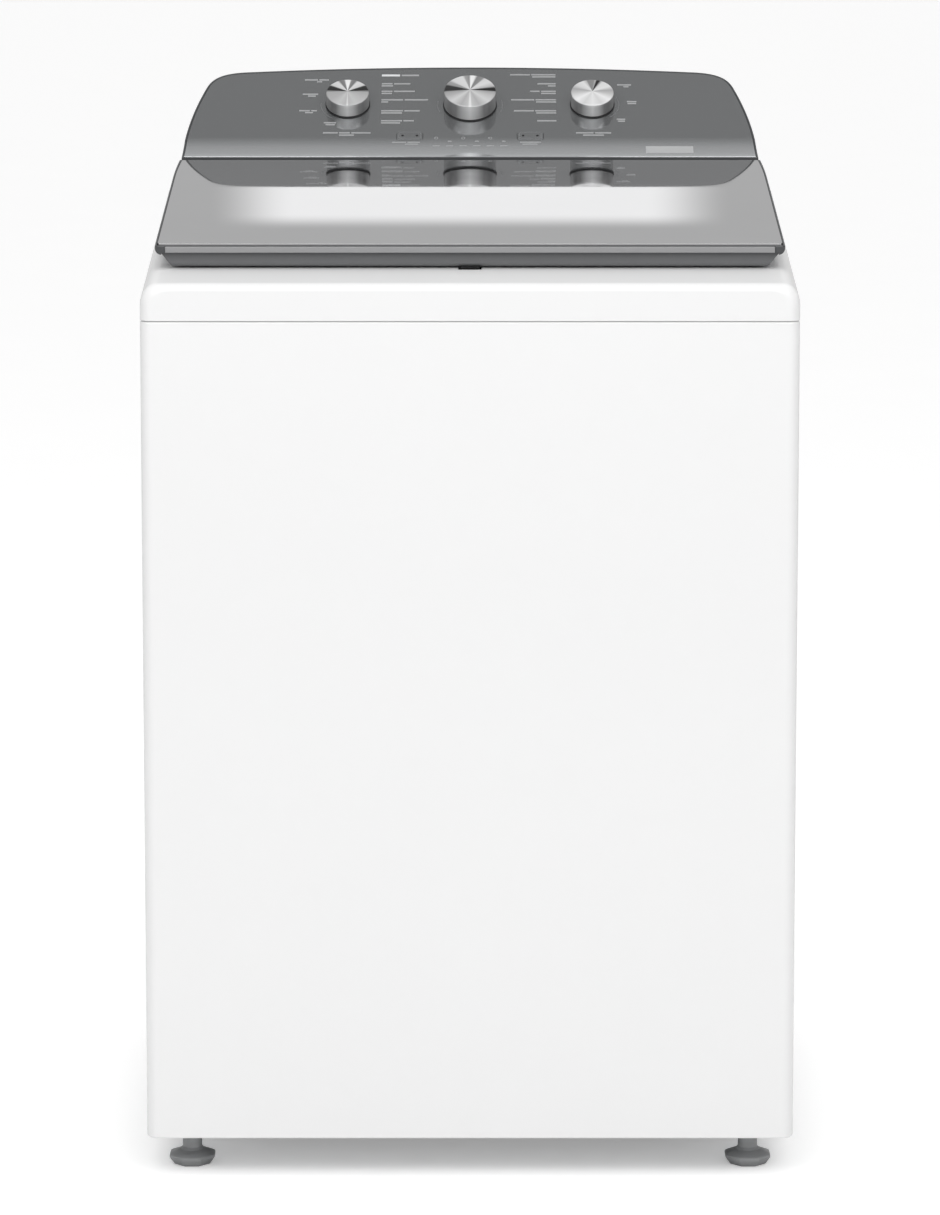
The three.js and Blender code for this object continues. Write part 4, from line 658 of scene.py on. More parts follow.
def spun(name, wedges, crown):
    """Turned metal cap: fine marks round its axis, and wedges of light and shade painted into the colour of
    its face and side, a painted reflection.
    """
    s = Surface(name, (0.6, 0.6, 0.6), 0.22, 0.35, Anisotropic=0.8)
    s.feed(s.shader["Tangent"], s.node("Tangent", direction_type="RADIAL", axis="Z").outputs["Tangent"])
    x, y, z = s.apart(s.place)
    turn = s.maths("MULTIPLY_ADD", s.maths("ARCTAN2", y, x), 1 / (2 * math.pi), 0.5)
    # painted reflection: lit and dark wedges round the axis, one ramp for the side and one for the face
    side, face = [
        s.ramp(turn, [(place, (tone, tone, tone * 1.005)) for place, tone in stops])
        for stops in (PAINTED_SIDE_BANDS, wedges)
    ]
    on_face = s.spread(z, (crown - 1.2) * MM, (crown - 0.2) * MM)
    both = s.node("Mix", {"Factor": on_face, 6: side, 7: face}, data_type="RGBA").outputs[2]
    away = s.maths("SQRT", s.maths("ADD", s.maths("MULTIPLY", x, x), s.maths("MULTIPLY", y, y)))
    rings = s.node("TexNoise", {"W": away, "Scale": 5200, "Detail": 3}, noise_dimensions="1D").outputs["Fac"]
    marks = s.spread(rings, 0, 1, 0.9, 1.1)
    s.coloured(s.node("VectorMath", {0: both, "Scale": marks}, operation="SCALE").outputs["Vector"])
    return s.worn(rings, 0.04).bump(rings, 0.006, 0.3).material


# Knobs: place across and up the console's face, radius and height.
KNOBS = {
    "cycle": (0, 64.5, 30.2, 22.5), "level": (-140.5, 65.5, 24.9, 19.5), "temp": (140.5, 65.5, 24.9, 19.5),
}
KNOB_CROWN = 1.6  # its domed face rises by this much
DARK = (0.060, 0.062, 0.065)

for make, name, *values in (
    (enamel, "white_enamel", (0.86, 0.86, 0.86)),
    (enamel, "white_deck", (0.87, 0.87, 0.87), 0.30),
    (glossy, "lid_silver", (0.80, 0.80, 0.81), 0.035, 1.0, 0.006),
    (glossy, "clear_lens", (0.62, 0.66, 0.70), 0.1, 0.0),
    # fascia_grey is painted lighter along the foot of the console's face: a painted sheen
    (lacquer_painted_sheen, "fascia_grey", (0.405, 0.415, 0.422), 0.09, 0.85),
    # tray_plastic is painted lighter over the lid's pan and darker along its rim: painted light and shade
    (tray_painted_light, "tray_plastic", DARK, (0.135, 0.138, 0.142)),
    (galvanised, "zinc_sheet", (0.55, 0.56, 0.57)),
    (brushed, "stainless", (0.80, 0.81, 0.82), 0.37, (4, 4, 700)),
    (moulded, "trim_grey", (0.30, 0.30, 0.305), 0.36, 900, 0.004),
    # edge_grey is pale so that the lid's edge band shows as the panel edge's highlight: a painted highlight
    (moulded, "edge_grey", (0.62, 0.62, 0.625), 0.36, 900, 0.004),
    (moulded, "dark_plastic", DARK, 0.35, 700, 0.008),
    (moulded, "black_plastic", (0.015, 0.015, 0.016), 0.42),
    (moulded, "grey_plastic", (0.24, 0.25, 0.26), 0.42),
    (moulded, "pale_plastic", (0.66, 0.68, 0.68), 0.4),
    (moulded, "foot_plastic", (0.30, 0.305, 0.31), 0.4, 600, 0.03),
    (moulded, "black_rubber", (0.012, 0.012, 0.012), 0.7, 300, 0.03),
    (moulded, "board_green", (0.02, 0.13, 0.05), 0.35, 1200, 0.01),
    (moulded, "cast_metal", (0.42, 0.43, 0.44), 0.5, 260, 0.12),
    (moulded, "balance_plastic", (0.46, 0.48, 0.50), 0.38),
    (moulded, "plate_plastic", (0.60, 0.63, 0.65), 0.36, 500, 0.01),
    (moulded, "print_ink", (0.33, 0.335, 0.34), 0.5, 900, 0.004),
    (moulded, "bright_ink", (0.62, 0.63, 0.64), 0.5, 900, 0.004),
    (moulded, "faint_ink", (0.19, 0.195, 0.20), 0.5, 900, 0.004),
    (moulded, "pale_print", (0.40, 0.405, 0.41), 0.4, 900, 0.004),
    # the knob materials carry painted reflections as lit and dark wedges
    *[(spun, "knob_" + key, PAINTED_WEDGES[key], KNOBS[key][3] - KNOB_CROWN) for key in KNOBS],
):
    FINISHES[name] = make(name, *values)


# ---------------------------------------------------------------- cabinet
def cabinet_path(inset):
    """Outline of the wrap from one rear flange round the front to the other, as (x, y) points."""
    r, x = max(CORNER - inset, 0.5), HALF - inset
    half = [(HALF - REAR_FLANGE, BACK - inset)] + arc(x - r, BACK - inset - r, r, QUARTER, 0, 10)
    half += arc(x - r, FRONT + inset + r, r, 0, -QUARTER, 10)
    return half + mirrored(half)


def build_wrap():
    """Folded sheet round the sides and front, hemmed inwards along its top and bottom."""
    low, high = cab_lo.z, cab_hi.z
    levels = [(HEM, low)] + [(FOLD * (1 - math.sin(a)), low + FOLD * (1 - math.cos(a))) for a in quarter(4)]
    levels += [(FOLD * (1 - math.cos(a)), high - FOLD * (1 - math.sin(a))) for a in quarter(4)] + [(HEM, high)]
    last = len(levels) - 1
    inner = [
        (inset + (SHEET if 0 < n < last else 0), z + (SHEET if n <= 1 else -SHEET if n >= last - 1 else 0))
        for n, (inset, z) in enumerate(levels)
    ]
    rows = [[(x, y, z) for x, y in cabinet_path(inset)] for inset, z in levels + inner[::-1]]
    count = len(rows[0])
    faces = grid(len(rows), count, wrap_rows=True, wrap_points=False)
    for end in (0, count - 1):
        for k in range(last):
            mirror = len(rows) - 1 - k
            faces.append(tuple(row * count + end for row in (k, k + 1, mirror - 1, mirror)))
    return mesh_of([p for row in rows for p in row], faces)


piece("cabinet_wrap", build_wrap(), ROW, "cabinet", "white_enamel", "cabinet_shell")


# ---------------------------------------------------------------- top deck
def deck_body(inset, bottom):
    corner = CORNER - inset
    ahead = [FRONT + inset + corner * (1 - math.sin(a)) for a in reversed(quarter(8))]
    behind = [BACK - inset - corner * (1 - math.sin(a)) for a in quarter(8)]
    rings = []
    for y in ahead + [FRONT + DECK_ROLL, FRONT + DECK_ROLL + 3, CONSOLE_FRONT] + behind:
        into = max(corner - min(y - FRONT - inset, BACK - inset - y), 0)
        half = HALF - inset - corner + math.sqrt(max(corner ** 2 - into ** 2, 0))
        before = 1 - min((y - FRONT - inset) / DECK_ROLL, 1)
        roll = DECK_ROLL_DROP * (1 - math.sqrt(max(1 - before ** 2, 0)))
        top = min(deck_height(y), CONSOLE_BASE - GAP) - inset - roll
        side = [(half, bottom)] + [
            (half - SHOULDER_WIDTH * (1 - math.cos(a)), top - SHOULDER_HEIGHT * (1 - math.sin(a)))
            for a in quarter(8)
        ]
        rings.append([(x, y, z) for x, z in side + mirrored(side)])
    return loft(rings)


def mouth(inset, low, high):
    rings = []
    for s, z in ((inset + MOUTH_TAPER, low), (inset, high)):
        side = MOUTH_HALF - s
        outline = rounded(-side, side, MOUTH_FRONT + s, MOUTH_BACK - s, MOUTH_CORNER - s, 16)
        rings.append([(x, y, z) for x, y in outline])
    return loft(rings)


def build_deck():
    seam, above = SEAM + SEAM_GAP, deck_hi.z + 20
    shell = cut(deck_body(0, seam), deck_body(DECK_WALL, seam - 5))
    skirt = common(mouth(-DECK_WALL, MOUTH_BOTTOM, above), deck_body(1, seam - 60))
    low, high = reach("lid_strike")
    slot = block(low.x - 2, high.x + 2, low.y - 5, high.y + 5, SEAM, above)
    middle = standing("inlet_valve")[0]
    ports = [
        moved(drum(INLET_RADIUS + GAP, -20, 20), lying(middle + side * INLET_PITCH / 2, BACK, INLET_Z))
        for side in (-1, 1)
    ]
    spout = moved(drum(HOSE_RADIUS + 1, -30, 30), lying(SPOUT_X, MOUTH_BACK, SPOUT_Z))
    return cut(fuse(shell, skirt), mouth(0, MOUTH_BOTTOM - 1, above + 1), slot, *ports, spout)


piece("deck", build_deck(), ROW, "cabinet", "white_deck", "top_deck", bevel=0.8, clear=0.02, weighted=True)


def build_brackets():
    """Triangular plates across the top corners, flanged on the walls, that carry the suspension rods."""
    leg, nib, top = 194, 13, SEAM - 17
    plates = []
    for x, y in CORNERS.values():
        wall_x = HALF - SHEET - 0.1
        wall_y = REAR_PANEL - AXIS_Y - 0.6 if y > 0 else wall_x
        plate = prism([
            (wall_x, wall_y - nib), (wall_x - nib, wall_y), (wall_x - leg, wall_y),
            (wall_x - leg, wall_y - 12), (wall_x - 12, wall_y - leg), (wall_x, wall_y - leg),
        ], top - 3, top)
        body = fuse(
            cut(plate, drum(6, top - 5, top + 2, 24, ROD_X, ROD_Y)),
            block(wall_x - 3, wall_x, wall_y - leg, wall_y - nib, top - 3, top + 10),
            block(wall_x - leg, wall_x - nib, wall_y - 3, wall_y, top - 3, top + 10),
        )
        body.transform(Matrix.Diagonal((x, y, 1, 1)))
        if x * y < 0:
            body.flip_normals()
        plates.append(shifted(body, 0, AXIS_Y))
    return join(*plates)


piece("corner_brackets", build_brackets(), ROW, "cabinet", "zinc_sheet", bevel=0.5)


# ---------------------------------------------------------------- lid
def lid_plan(inset, front, back, corner=0.0):
    """Plan of the lid, in its own frame: its sides draw in smoothly at the rear."""
    side, draw_start = LID_HALF - inset, LID_REACH - LID_DRAW_LENGTH
    right = arc(side - corner, front + corner, corner, -QUARTER, 0, 6) if corner else [(side, front)]
    for t in [k / 10 for k in range(11)]:
        right.append((side - LID_DRAW * t * t, draw_start + (back - draw_start) * t))
    return right + mirrored(right)


def build_lid_panel():
    return prism(lid_plan(LID_RIM, LID_LEDGE + LID_EDGE, LID_REACH, 2.5), LID_GROOVE - LID_PLATE, 0)


# edge band along the panel's front: its pale tone stands in for the highlight of the panel's front edge, a
# painted highlight
def build_lid_edge_highlight_band():
    side = LID_HALF - LID_RIM - 1.2
    return block(-side, side, LID_LEDGE, LID_LEDGE + LID_EDGE - 0.1, -LID_PLATE, 0)


def lip_block(gap, front):
    side = LID_HALF - LID_PAN_INSET - 4 + gap
    return block(-side, side, front, LID_PLATE + gap, -LID_LIP - gap, -LID_LEDGE_DROP - LID_LIP_STEP + gap)


def build_lid_frame():
    rail = [
        (LID_HALF - LID_RAIL_TURN * (1 - math.cos(a)), -LID_RAIL + LID_RAIL_TURN * (1 - math.sin(a)))
        for a in quarter(6)
    ]
    pan = LID_HALF - LID_PAN_INSET
    right = [(LID_HALF, 0)] + rail + [
        (pan, -LID_RAIL), (pan - LID_PAN_TAPER, -LID_THICK + 1.5), (pan - LID_PAN_TAPER - 2, -LID_THICK),
    ]
    body = along_y(mirrored(right) + right, 0, LID_REACH)
    barrel = moved(
        drum(HINGE_DROP, -LID_HALF, LID_HALF, 48),
        Matrix.Translation((0, LID_REACH, -HINGE_DROP)) @ Matrix.Rotation(QUARTER, 4, "Y"),
    )
    drawn = common(fuse(body, barrel), prism(lid_plan(0, 0, LID_REACH + HINGE_DROP), -LID_THICK - 1, 1))
    panel = fuse(
        prism(lid_plan(LID_RIM - GAP, LID_LEDGE - GAP, LID_REACH + GAP), -LID_PLATE - GAP, 1),
        prism(lid_plan(LID_RIM - GAP, -1, LID_LEDGE + 1), -LID_LEDGE_DROP, 1.5),
    )
    recess = prism(rounded(34 - pan, pan - 34, 26, LID_REACH - 46, 26, 10), -LID_THICK - 1, -LID_THICK + 1.4)
    grip = along_x([
        (-1, -LID_LIP - GAP), (5.6, -LID_LIP - GAP), (5.6, -12.4), (5.1, -14.4), (4.1, -16.6),
        (2.8, -LID_THICK + 3.6), (3.4, -LID_THICK + 1.8), (5.4, -LID_THICK), (5.4, -LID_THICK - 1),
        (-1, -LID_THICK - 1),
    ], -pan, pan)
    notches = []
    for x, side in ((-1, "left"), (1, "right")):
        outer = max(abs(corner.x) for corner in reach("lid_hinge_" + side)) + 2
        a, b = sorted((x * (outer - 9.5), x * outer))
        notches.append(block(
            a, b, LID_REACH - 2 * HINGE_DROP + 2, LID_REACH + HINGE_DROP + 1, -LID_THICK - 1, 1,
        ))
    return cut(drawn, panel, lip_block(GAP, -1), grip, recess, *notches)


piece("lid_top", build_lid_panel(), LID, "lid", "lid_silver", "lid_panel", bevel=0.12)
# pale edge band: partly a real band, partly a painted highlight along the lid panel's front edge
piece("lid_edge", build_lid_edge_highlight_band(), LID, "lid", "edge_grey", bevel=0.2)
piece("lid_lip", lip_block(0, 0.3), LID, "lid", "trim_grey", bevel=0.5)
piece("lid_tray", build_lid_frame(), LID, "lid", "tray_plastic", "lid_frame", bevel=0.4, clear=0.4)


# ---------------------------------------------------------------- console
BELOW, BEYOND = 90, 60  # how far the outlines run past the console before they are cut to it


def console_outline(inset):
    side = FACE_HALF - inset
    shoulder = side - FACE_DRAW
    arch_end = FACE_LENGTH - ARCH_HALF ** 2 / (2 * ARCH_RADIUS) - inset
    span = math.asin(ARCH_HALF / ARCH_RADIUS)
    right = [(side + BELOW * FOOT_TAPER, -BELOW)]
    right += bezier(
        (side, 0), (side - FACE_DRAW / 3 + FACE_BOW, FACE_SHOULDER / 3),
        (shoulder + FACE_DRAW / 3 + FACE_BOW, FACE_SHOULDER * 2 / 3), (shoulder, FACE_SHOULDER), 12,
    )
    right += bezier(
        (shoulder, FACE_SHOULDER), (shoulder - 5.3, FACE_SHOULDER + 18), (shoulder - 14, arch_end - 3),
        (ARCH_HALF, arch_end), 16,
    )[1:]
    right += arc(0, FACE_LENGTH - inset - ARCH_RADIUS, ARCH_RADIUS, QUARTER - span, QUARTER, 12)[1:]
    return right + mirrored(right[:-1])


def face_curve(depth):
    """Side profile of the face at a depth under it, as (y, z) in its frame: the hollow foot, then flat."""
    radius, angle = HOLLOW_RADIUS + depth, HOLLOW_ANGLE + 5 * DEG
    hollow = [(-radius * math.sin(a), HOLLOW_RADIUS - radius * math.cos(a)) for a in (
        (1 - k / 20) * angle for k in range(21)
    )]
    return hollow + [(FACE_LENGTH + BEYOND, -depth)]


def console_solid(profile, inset, back, base=None):
    """What lies inside both the face's outline and a side profile in its frame, in the row frame."""
    c, s = math.cos(FACE_SLOPE), math.sin(FACE_SLOPE)
    side = [(FACE_Y + y * c - z * s, FACE_Z + y * s + z * c) for y, z in profile]
    side = clip(clip(side, 0, CONSOLE_FRONT + inset, True), 0, back, False)
    if base is not None:
        side = clip(side, 1, base, True)
    outline = moved(prism(console_outline(inset), -200, 40), IN_FACE)
    return common(outline, along_x(side, -FACE_HALF - BEYOND, FACE_HALF + BEYOND))


def console_form(inset, depth, base, back):
    """Outer form drawn in by an inset all round and lowered by a depth under its face."""
    profile = face_curve(depth) + [(FACE_LENGTH + BEYOND, -260), (-120, -260)]
    return console_solid(profile, inset, back, base)


def face_band(inset, top, bottom):
    return console_solid(face_curve(top) + face_curve(bottom)[::-1], inset, CONSOLE_BACK - inset)


BUTTON_WIDTH, BUTTON_HEIGHT, BUTTON_UP, BUTTON_ACROSS = 29.5, 14.6, 7.3, 68.8
BUTTON_PROUD = 0.5
BUTTONS = ((-1, "options"), (1, "start"))


def plaque(side, half_width, half_height, corner, low, high):
    """A rounded block centred on a button."""
    x = side * BUTTON_ACROSS
    return prism(rounded(
        x - half_width, x + half_width, BUTTON_UP - half_height, BUTTON_UP + half_height, corner, 6,
    ), low, high)


def button_shape(side, grow, low, high):
    return plaque(side, BUTTON_WIDTH / 2 + grow, BUTTON_HEIGHT / 2 + grow, 3 + grow, low, high)


housing = cut(
    console_form(0, 0, CONSOLE_BASE, CONSOLE_BACK),
    console_form(CONSOLE_WALL, 2 * CONSOLE_WALL + FASCIA, CONSOLE_BASE - 30, CONSOLE_BACK + 30),
    face_band(CONSOLE_RIM, -4, FASCIA + GAP),
)
piece("console_case", housing, ROW, "cabinet", "dark_plastic", "console_housing", bevel=0.5)
holes = [moved(button_shape(side, GAP, -30, 30), IN_FACE) for side, key in BUTTONS]
fascia = cut(face_band(CONSOLE_RIM + GAP, 0, FASCIA), *holes)
piece("console_face", fascia, ROW, "cabinet", "fascia_grey", "console_fascia", bevel=0.35, clear=0.02)
for side, key in BUTTONS:
    cap = button_shape(side, 0, -5, BUTTON_PROUD)
    piece(key + "_key_cap", cap, FACE, key + "_key", "fascia_grey", key + "_button", bevel=0.2)

KNOB_SKIRT, KNOB_RING = 1.4, 0.8
for key, (x, up, radius, height) in KNOBS.items():
    place, skirt, out = FACE @ Matrix.Translation((x, up, 0)), KNOB_SKIRT, radius + KNOB_RING
    crown = height - KNOB_CROWN
    cap = lathe([
        (0, height), (radius * 0.5, height - 0.7), (radius - 2.2, crown + 0.15), (radius - 1.3, crown - 0.1),
        (radius - 0.6, crown - 0.6), (radius - 0.3, crown - 1.4), (radius, skirt + 0.6),
        (radius - 1.6, skirt + 0.6), (radius - 1.6, skirt + 2), (0, skirt + 2),
    ], 128)
    piece(key + "_knob_metal", cap, place, key + "_knob", "knob_" + key, key + "_knob_cap", own_axis=True)
    ring = lathe([(0, 0.3), (out - 0.3, 0.3), (out, 0.6), (out, skirt - 0.3), (out - 0.3, skirt), (0, skirt)])
    piece(key + "_knob_ring", ring, place, key + "_knob", "black_plastic", key + "_knob_core")


# ---------------------------------------------------------------- printed marks of the console
INK, UNDER = 0.12, -0.05  # how far the print stands proud of the face, and how far it goes under it
LINE, LEADING = 2.4, 4.4  # height of a printed bar, and the step to a second one under it
SMALL = 1.8


def over_face(up, lift):
    """Point above the console's flat face or the hollow at its foot, as (y, z) in the face's frame."""
    if up >= 0:
        return up, lift
    radius, turn = HOLLOW_RADIUS - lift, math.asin(-up / HOLLOW_RADIUS)
    return -radius * math.sin(turn), HOLLOW_RADIUS - radius * math.cos(turn)


def bar(x0, x1, middle, tall=LINE):
    rings = []
    for k in range(5):
        up = middle + tall * (k / 4 - 0.5)
        (y0, z0), (y1, z1) = over_face(up, UNDER), over_face(up, INK)
        rings.append([(x0, y0, z0), (x1, y0, z0), (x1, y1, z1), (x0, y1, z1)])
    return loft(rings)


def band(x, up, radius, start, end, width=0.55):
    """Thin printed arc round a knob, from one angle to another."""
    section = ((radius, UNDER), (radius + width, UNDER), (radius + width, INK), (radius, INK))
    return loft([
        [(x + r * math.cos(a), up + r * math.sin(a), z) for r, z in section]
        for a in [(start + (end - start) * k / 24) * DEG for k in range(25)]
    ])


def words(x, up, lengths, side=1, tall=LINE):
    """A row of bars that starts at x and runs to one side."""
    bars = []
    for length in lengths:
        a, b = sorted((x, x + side * length))
        bars.append(bar(a, b, up, tall))
        x += side * (length + 1.7)
    return bars


def captions(rows, step, raise_by, side=1):
    """Pairs of lines given as (x, up, bars above, bars below, shift of the line below)."""
    result = []
    for x, up, first, second, shift in rows:
        up += raise_by
        result += words(x, up, first, side) + words(x + shift, up - LEADING * step, second, side)
    return result


def centred(rows):
    return [(x, up, first, second, (sum(first) - sum(second)) * 0.7) for x, up, first, second in rows]


marks = captions([(-102, *row, 0) for row in (
    (103.4, (12.5, 19), (13,)), (89.2, (12.5, 24), (12,)), (73.2, (25, 27), (8,)), (52.6, (25, 17.5), (24,)),
    (34.0, (24, 12), (22,)),
)], 0.9, 1.2)
marks += captions([(99, *row, 0) for row in (
    (120.5, (28, 23), (27,)), (103.4, (21,), (9,)), (89.2, (17, 11), (17,)), (73.2, (23.5, 26.5), (23,)),
    (52.6, (24, 23), (23,)), (34.0, (22,), ()),
)], 0.9, 1.2, -1)
marks += words(-79, 120.5, (20,), tall=3)
marks += captions(centred((
    (-191, 111.0, (15, 11), (6,)), (-193, 84.0, (18,), (9,)), (-196, 53.0, (12, 6.5), (9,)),
    (-167.5, 30.5, (14,), (11,)), (170, 101.5, (16,), (6,)), (180.5, 70.0, (11,), (10,)),
    (168, 37.0, (10,), (8,)),
)), 0.8, 1)
for x, up, lengths, tall in (
    (-168, 12.8, (17, 12, 22), LINE), (-149.5, 8.6, (17,), LINE), (121, 12.8, (20, 18.5), LINE),
    (129, 8.6, (24,), LINE), (-89, -4.6, (16, 14), SMALL), (-74, -8.2, (15,), SMALL), (57, -4.6, (24,), SMALL),
    (60, -8.2, (17,), SMALL),
):
    marks += words(x, up, lengths, tall=tall)
for k in range(6):
    x = -38.5 + 15.4 * k
    marks.append(bar(x - 4.2, x + 4.2, -11.6, 1.5))
    marks.append(bar(x - 2.2, x + 2.2, -2.6, 1.6) if k % 2 else band(x, 3.2, 1.5, 0, 355, 0.7))
arcs = [
    band(-140.5, 65.5, 30.5, 175, 236), band(140.5, 65.5, 30.5, -50, 28),
    band(0, 64.5, 37, 168, 200), band(0, 64.5, 37, -24, 14),
]
for name, mesh, ink in (
    ("face_arcs", join(*arcs), "faint_ink"), ("face_marks", join(*marks), "print_ink"),
    ("face_marks_bright", join(*words(-102, 120.5, (21,), tall=3.6)), "bright_ink"),
    ("face_plate", bar(200, 254, -20, 15), "pale_print"),
):
    piece(name, mesh, FACE, "cabinet", ink)
for side, key in BUTTONS:
    rim = cut(
        plaque(side, 12.7, 5.4, 2.6, BUTTON_PROUD + UNDER, BUTTON_PROUD + INK),
        plaque(side, 12.2, 4.9, 2.2, BUTTON_PROUD - 1, BUTTON_PROUD + 1),
    )
    piece(key + "_key_rim", rim, FACE, key + "_key", "faint_ink")
    dots = [
        drum(1.5, BUTTON_PROUD + UNDER, BUTTON_PROUD + INK, 24, side * BUTTON_ACROSS + step * 8.2, BUTTON_UP)
        for step in (-1, 1)
    ]
    piece(key + "_key_dots", join(*dots), FACE, key + "_key", "black_plastic")


# ---------------------------------------------------------------- feet
def build_foot():
    """Faceted pad, round neck and threaded stem."""
    flat = 24 / math.cos(math.pi / 8)
    levels = (
        (flat - 6.5, 0), (flat - 5.2, 0.8), (flat - 1.2, 6.4), (flat, 8.2), (flat, 10.6), (flat - 2, 12),
        (13.6, 16),
    )
    pad = loft([[(r * math.cos(a), r * math.sin(a), z) for a in spaced(8, math.pi / 8)] for r, z in levels])
    neck = lathe([(0, 15.5), (13.5, 15.5), (12.2, 17), (10.4, 18.5), (10.4, 32.6), (9.8, 33), (0, 33)], 40)
    thread = [(5.9 if k % 2 else 5.1, 33 + k * 1.25) for k in range(40)]
    return join(pad, neck, lathe([(0, 32), (5.2, 32)] + thread + [(0, 83)], 24))


for key in CORNERS:
    x, y, bottom, top = standing("foot_" + key)
    piece("pad_" + key, build_foot(), at(x, y, bottom), "foot_" + key + "_body", "foot_plastic", "foot_" + key,
          bevel=0.5, clear=0.02)


# ---------------------------------------------------------------- back of the machine
def softened(name, node, body, finish, bevel):
    """A piece of the CAD node's own shape with its edges rounded."""
    mesh = nodes[node].data.copy()
    mesh.transform(ROW.inverted())
    piece(name, joined(mesh), ROW, body, finish, node, bevel=bevel, clear=0.02)


def screw_head(radius, height):
    """Hex washer-head screw, seen from its head, standing on z = 0."""
    washer = lathe([
        (0, 0), (radius * 1.55, 0), (radius * 1.5, height * 0.22), (radius, height * 0.3), (0, height * 0.3),
    ], 32)
    crown = loft([
        [(share * radius * math.cos(a), share * radius * math.sin(a), z) for a in spaced(6)]
        for share, z in ((1, height * 0.25), (1, height * 0.85), (0.86, height))
    ])
    return join(washer, crown)


def field(x, z0, z1, y, depth, grow):
    """Pressed field of the rear panel: a rounded rectangle that narrows inwards."""
    rings = []
    for inset, into in ((grow - 3, -grow), (grow, 0.6), (grow + 2, depth * 0.5), (grow + 8, depth - 1.2),
                        (grow + 11, depth)):
        outline = rounded(inset - x, x - inset, z0 + inset, z1 - inset, 16 - inset * 0.4, 8)
        rings.append([(px, y - into, pz) for px, pz in outline])
    return loft(rings)


panel_lo, panel_hi = reach("rear_panel")
FIELD_DEPTH = 6.6


def build_rear_panel():
    back, bottom, top, side = panel_hi.y, panel_lo.z, panel_hi.z, panel_hi.x
    middle = (bottom + top - 80) / 2
    rows = ((bottom + 40, middle - 20), (middle + 20, top - 120))
    plate = moved(
        prism(rounded(-side, side, bottom, top, 6, 4), 0, SHEET),
        Matrix.Translation((0, back, 0)) @ Matrix.Rotation(QUARTER, 4, "X"),
    )
    plate = fuse(plate, *[field(side - 30, *row, back - SHEET + 0.2, FIELD_DEPTH, 0) for row in rows])
    plate = cut(plate, *[field(side - 30, *row, back, FIELD_DEPTH, 1.3) for row in rows])
    return cut(plate, moved(drum(16, -12, 12), lying(DRAIN_X, back, DRAIN_Z)))


piece("back_panel", build_rear_panel(), ROW, "cabinet", "zinc_sheet", "rear_panel", bevel=0.4, clear=0.02)

cover_lo, cover_hi = reach("console_rear_cover")
screws = [
    (x * (panel_hi.x - 9), panel_lo.z + 40 + k * (panel_hi.z - panel_lo.z - 80) / 4)
    for x in (-1, 1) for k in range(5)
]
screws += [(x, z) for z in (panel_hi.z - 11, panel_lo.z + 11) for x in (-180, 0, 180)]
heads = [moved(screw_head(4, 4.2), lying(x, panel_hi.y, z)) for x, z in screws]
heads += [
    moved(screw_head(3.4, 3.2), lying(x, cover_hi.y, cover_lo.z + up))
    for x, up in ((-250, 12), (0, 12), (250, 12), (-160, 58), (160, 58))
]
piece("back_screws", join(*heads), ROW, "cabinet", "stainless")
softened("console_back", "console_rear_cover", "cabinet", "zinc_sheet", 0.3)


def threaded(radius, bore, length, pitch, turns):
    """Hose thread round a port whose end is at z = length."""
    root, start = radius - 1.2, length - 1.5 - turns * pitch
    profile = [(bore, 0), (root, 0)]
    for z in [start + k * pitch for k in range(turns)]:
        profile += [(root, z), (radius, z + pitch * 0.35), (radius, z + pitch * 0.55), (root, z + pitch * 0.9)]
    return profile + [(root, length - 1.2), (radius - 2, length), (bore, length)]


valve_x, valve_end = standing("inlet_valve")[0], reach("inlet_valve")[1].y
valve_back = BACK - DECK_WALL - GAP
ports, screens, coils = [], [], []
for side in (-1, 1):
    place = lying(valve_x + side * INLET_PITCH / 2, valve_back - 5, INLET_Z)
    ports.append(moved(lathe(threaded(INLET_RADIUS, 9.6, valve_end - valve_back + 5, 2.3, 5), 64), place))
    screens.append(moved(lathe([(0, 3), (9.4, 3), (9.4, 7), (7, 6), (0, 12)], 48), place))
    coil = lathe([(0, 0), (13, 0), (13, 3), (12, 4), (12, 28), (13, 29), (13, 32), (0, 32)], 40)
    coils.append(shifted(coil, valve_x + side * 23, valve_back - 22, INLET_Z + 10))
valve_body = prism(
    rounded(valve_x - 46, valve_x + 46, valve_back - 42, valve_back, 6), INLET_Z - 17, INLET_Z + 17,
)
piece("valve", join(valve_body, *ports, *coils), ROW, "cabinet", "pale_plastic", "inlet_valve", bevel=0.5,
      clear=0.02)
piece("valve_screens", join(*screens), ROW, "cabinet", "stainless")

elbow_lo, elbow_hi = reach("drain_outlet")
drain_y = BACK - 46
elbow = sweep(smooth_path([
    (DRAIN_X, drain_y, elbow_lo.z), (DRAIN_X, drain_y, elbow_lo.z + 8), (DRAIN_X, drain_y + 9, DRAIN_Z - 5),
    (DRAIN_X, drain_y + 26, DRAIN_Z), (DRAIN_X, elbow_hi.y - 16, DRAIN_Z), (DRAIN_X, elbow_hi.y, DRAIN_Z),
]), DRAIN_RADIUS - 0.2, 40)
elbow = cut(elbow, moved(drum(DRAIN_RADIUS - 3, -18, 1), lying(DRAIN_X, elbow_hi.y, DRAIN_Z)))
piece("drain_elbow", elbow, ROW, "cabinet", "grey_plastic", "drain_outlet", bevel=0.6)

gland_lo, gland_hi = reach("cord_gland")
near, far = gland_lo.y, gland_hi.y
gland = join(lathe([
    (4.6, near), (11, near), (11, far - 4.8), (13.9, far - 4.8), (13.9, far - 1.6), (12.6, far - 0.4),
    (9, far), (6, far), (4.6, far - 1.2),
], 48), lathe([(11, near), (13.6, near), (13.6, far - 6.8), (11, far - 6.8)], 48))
gland = moved(gland, lying((gland_lo.x + gland_hi.x) / 2, 0, (gland_lo.z + gland_hi.z) / 2))
piece("gland", gland, ROW, "cabinet", "black_plastic", "cord_gland", bevel=0.3)


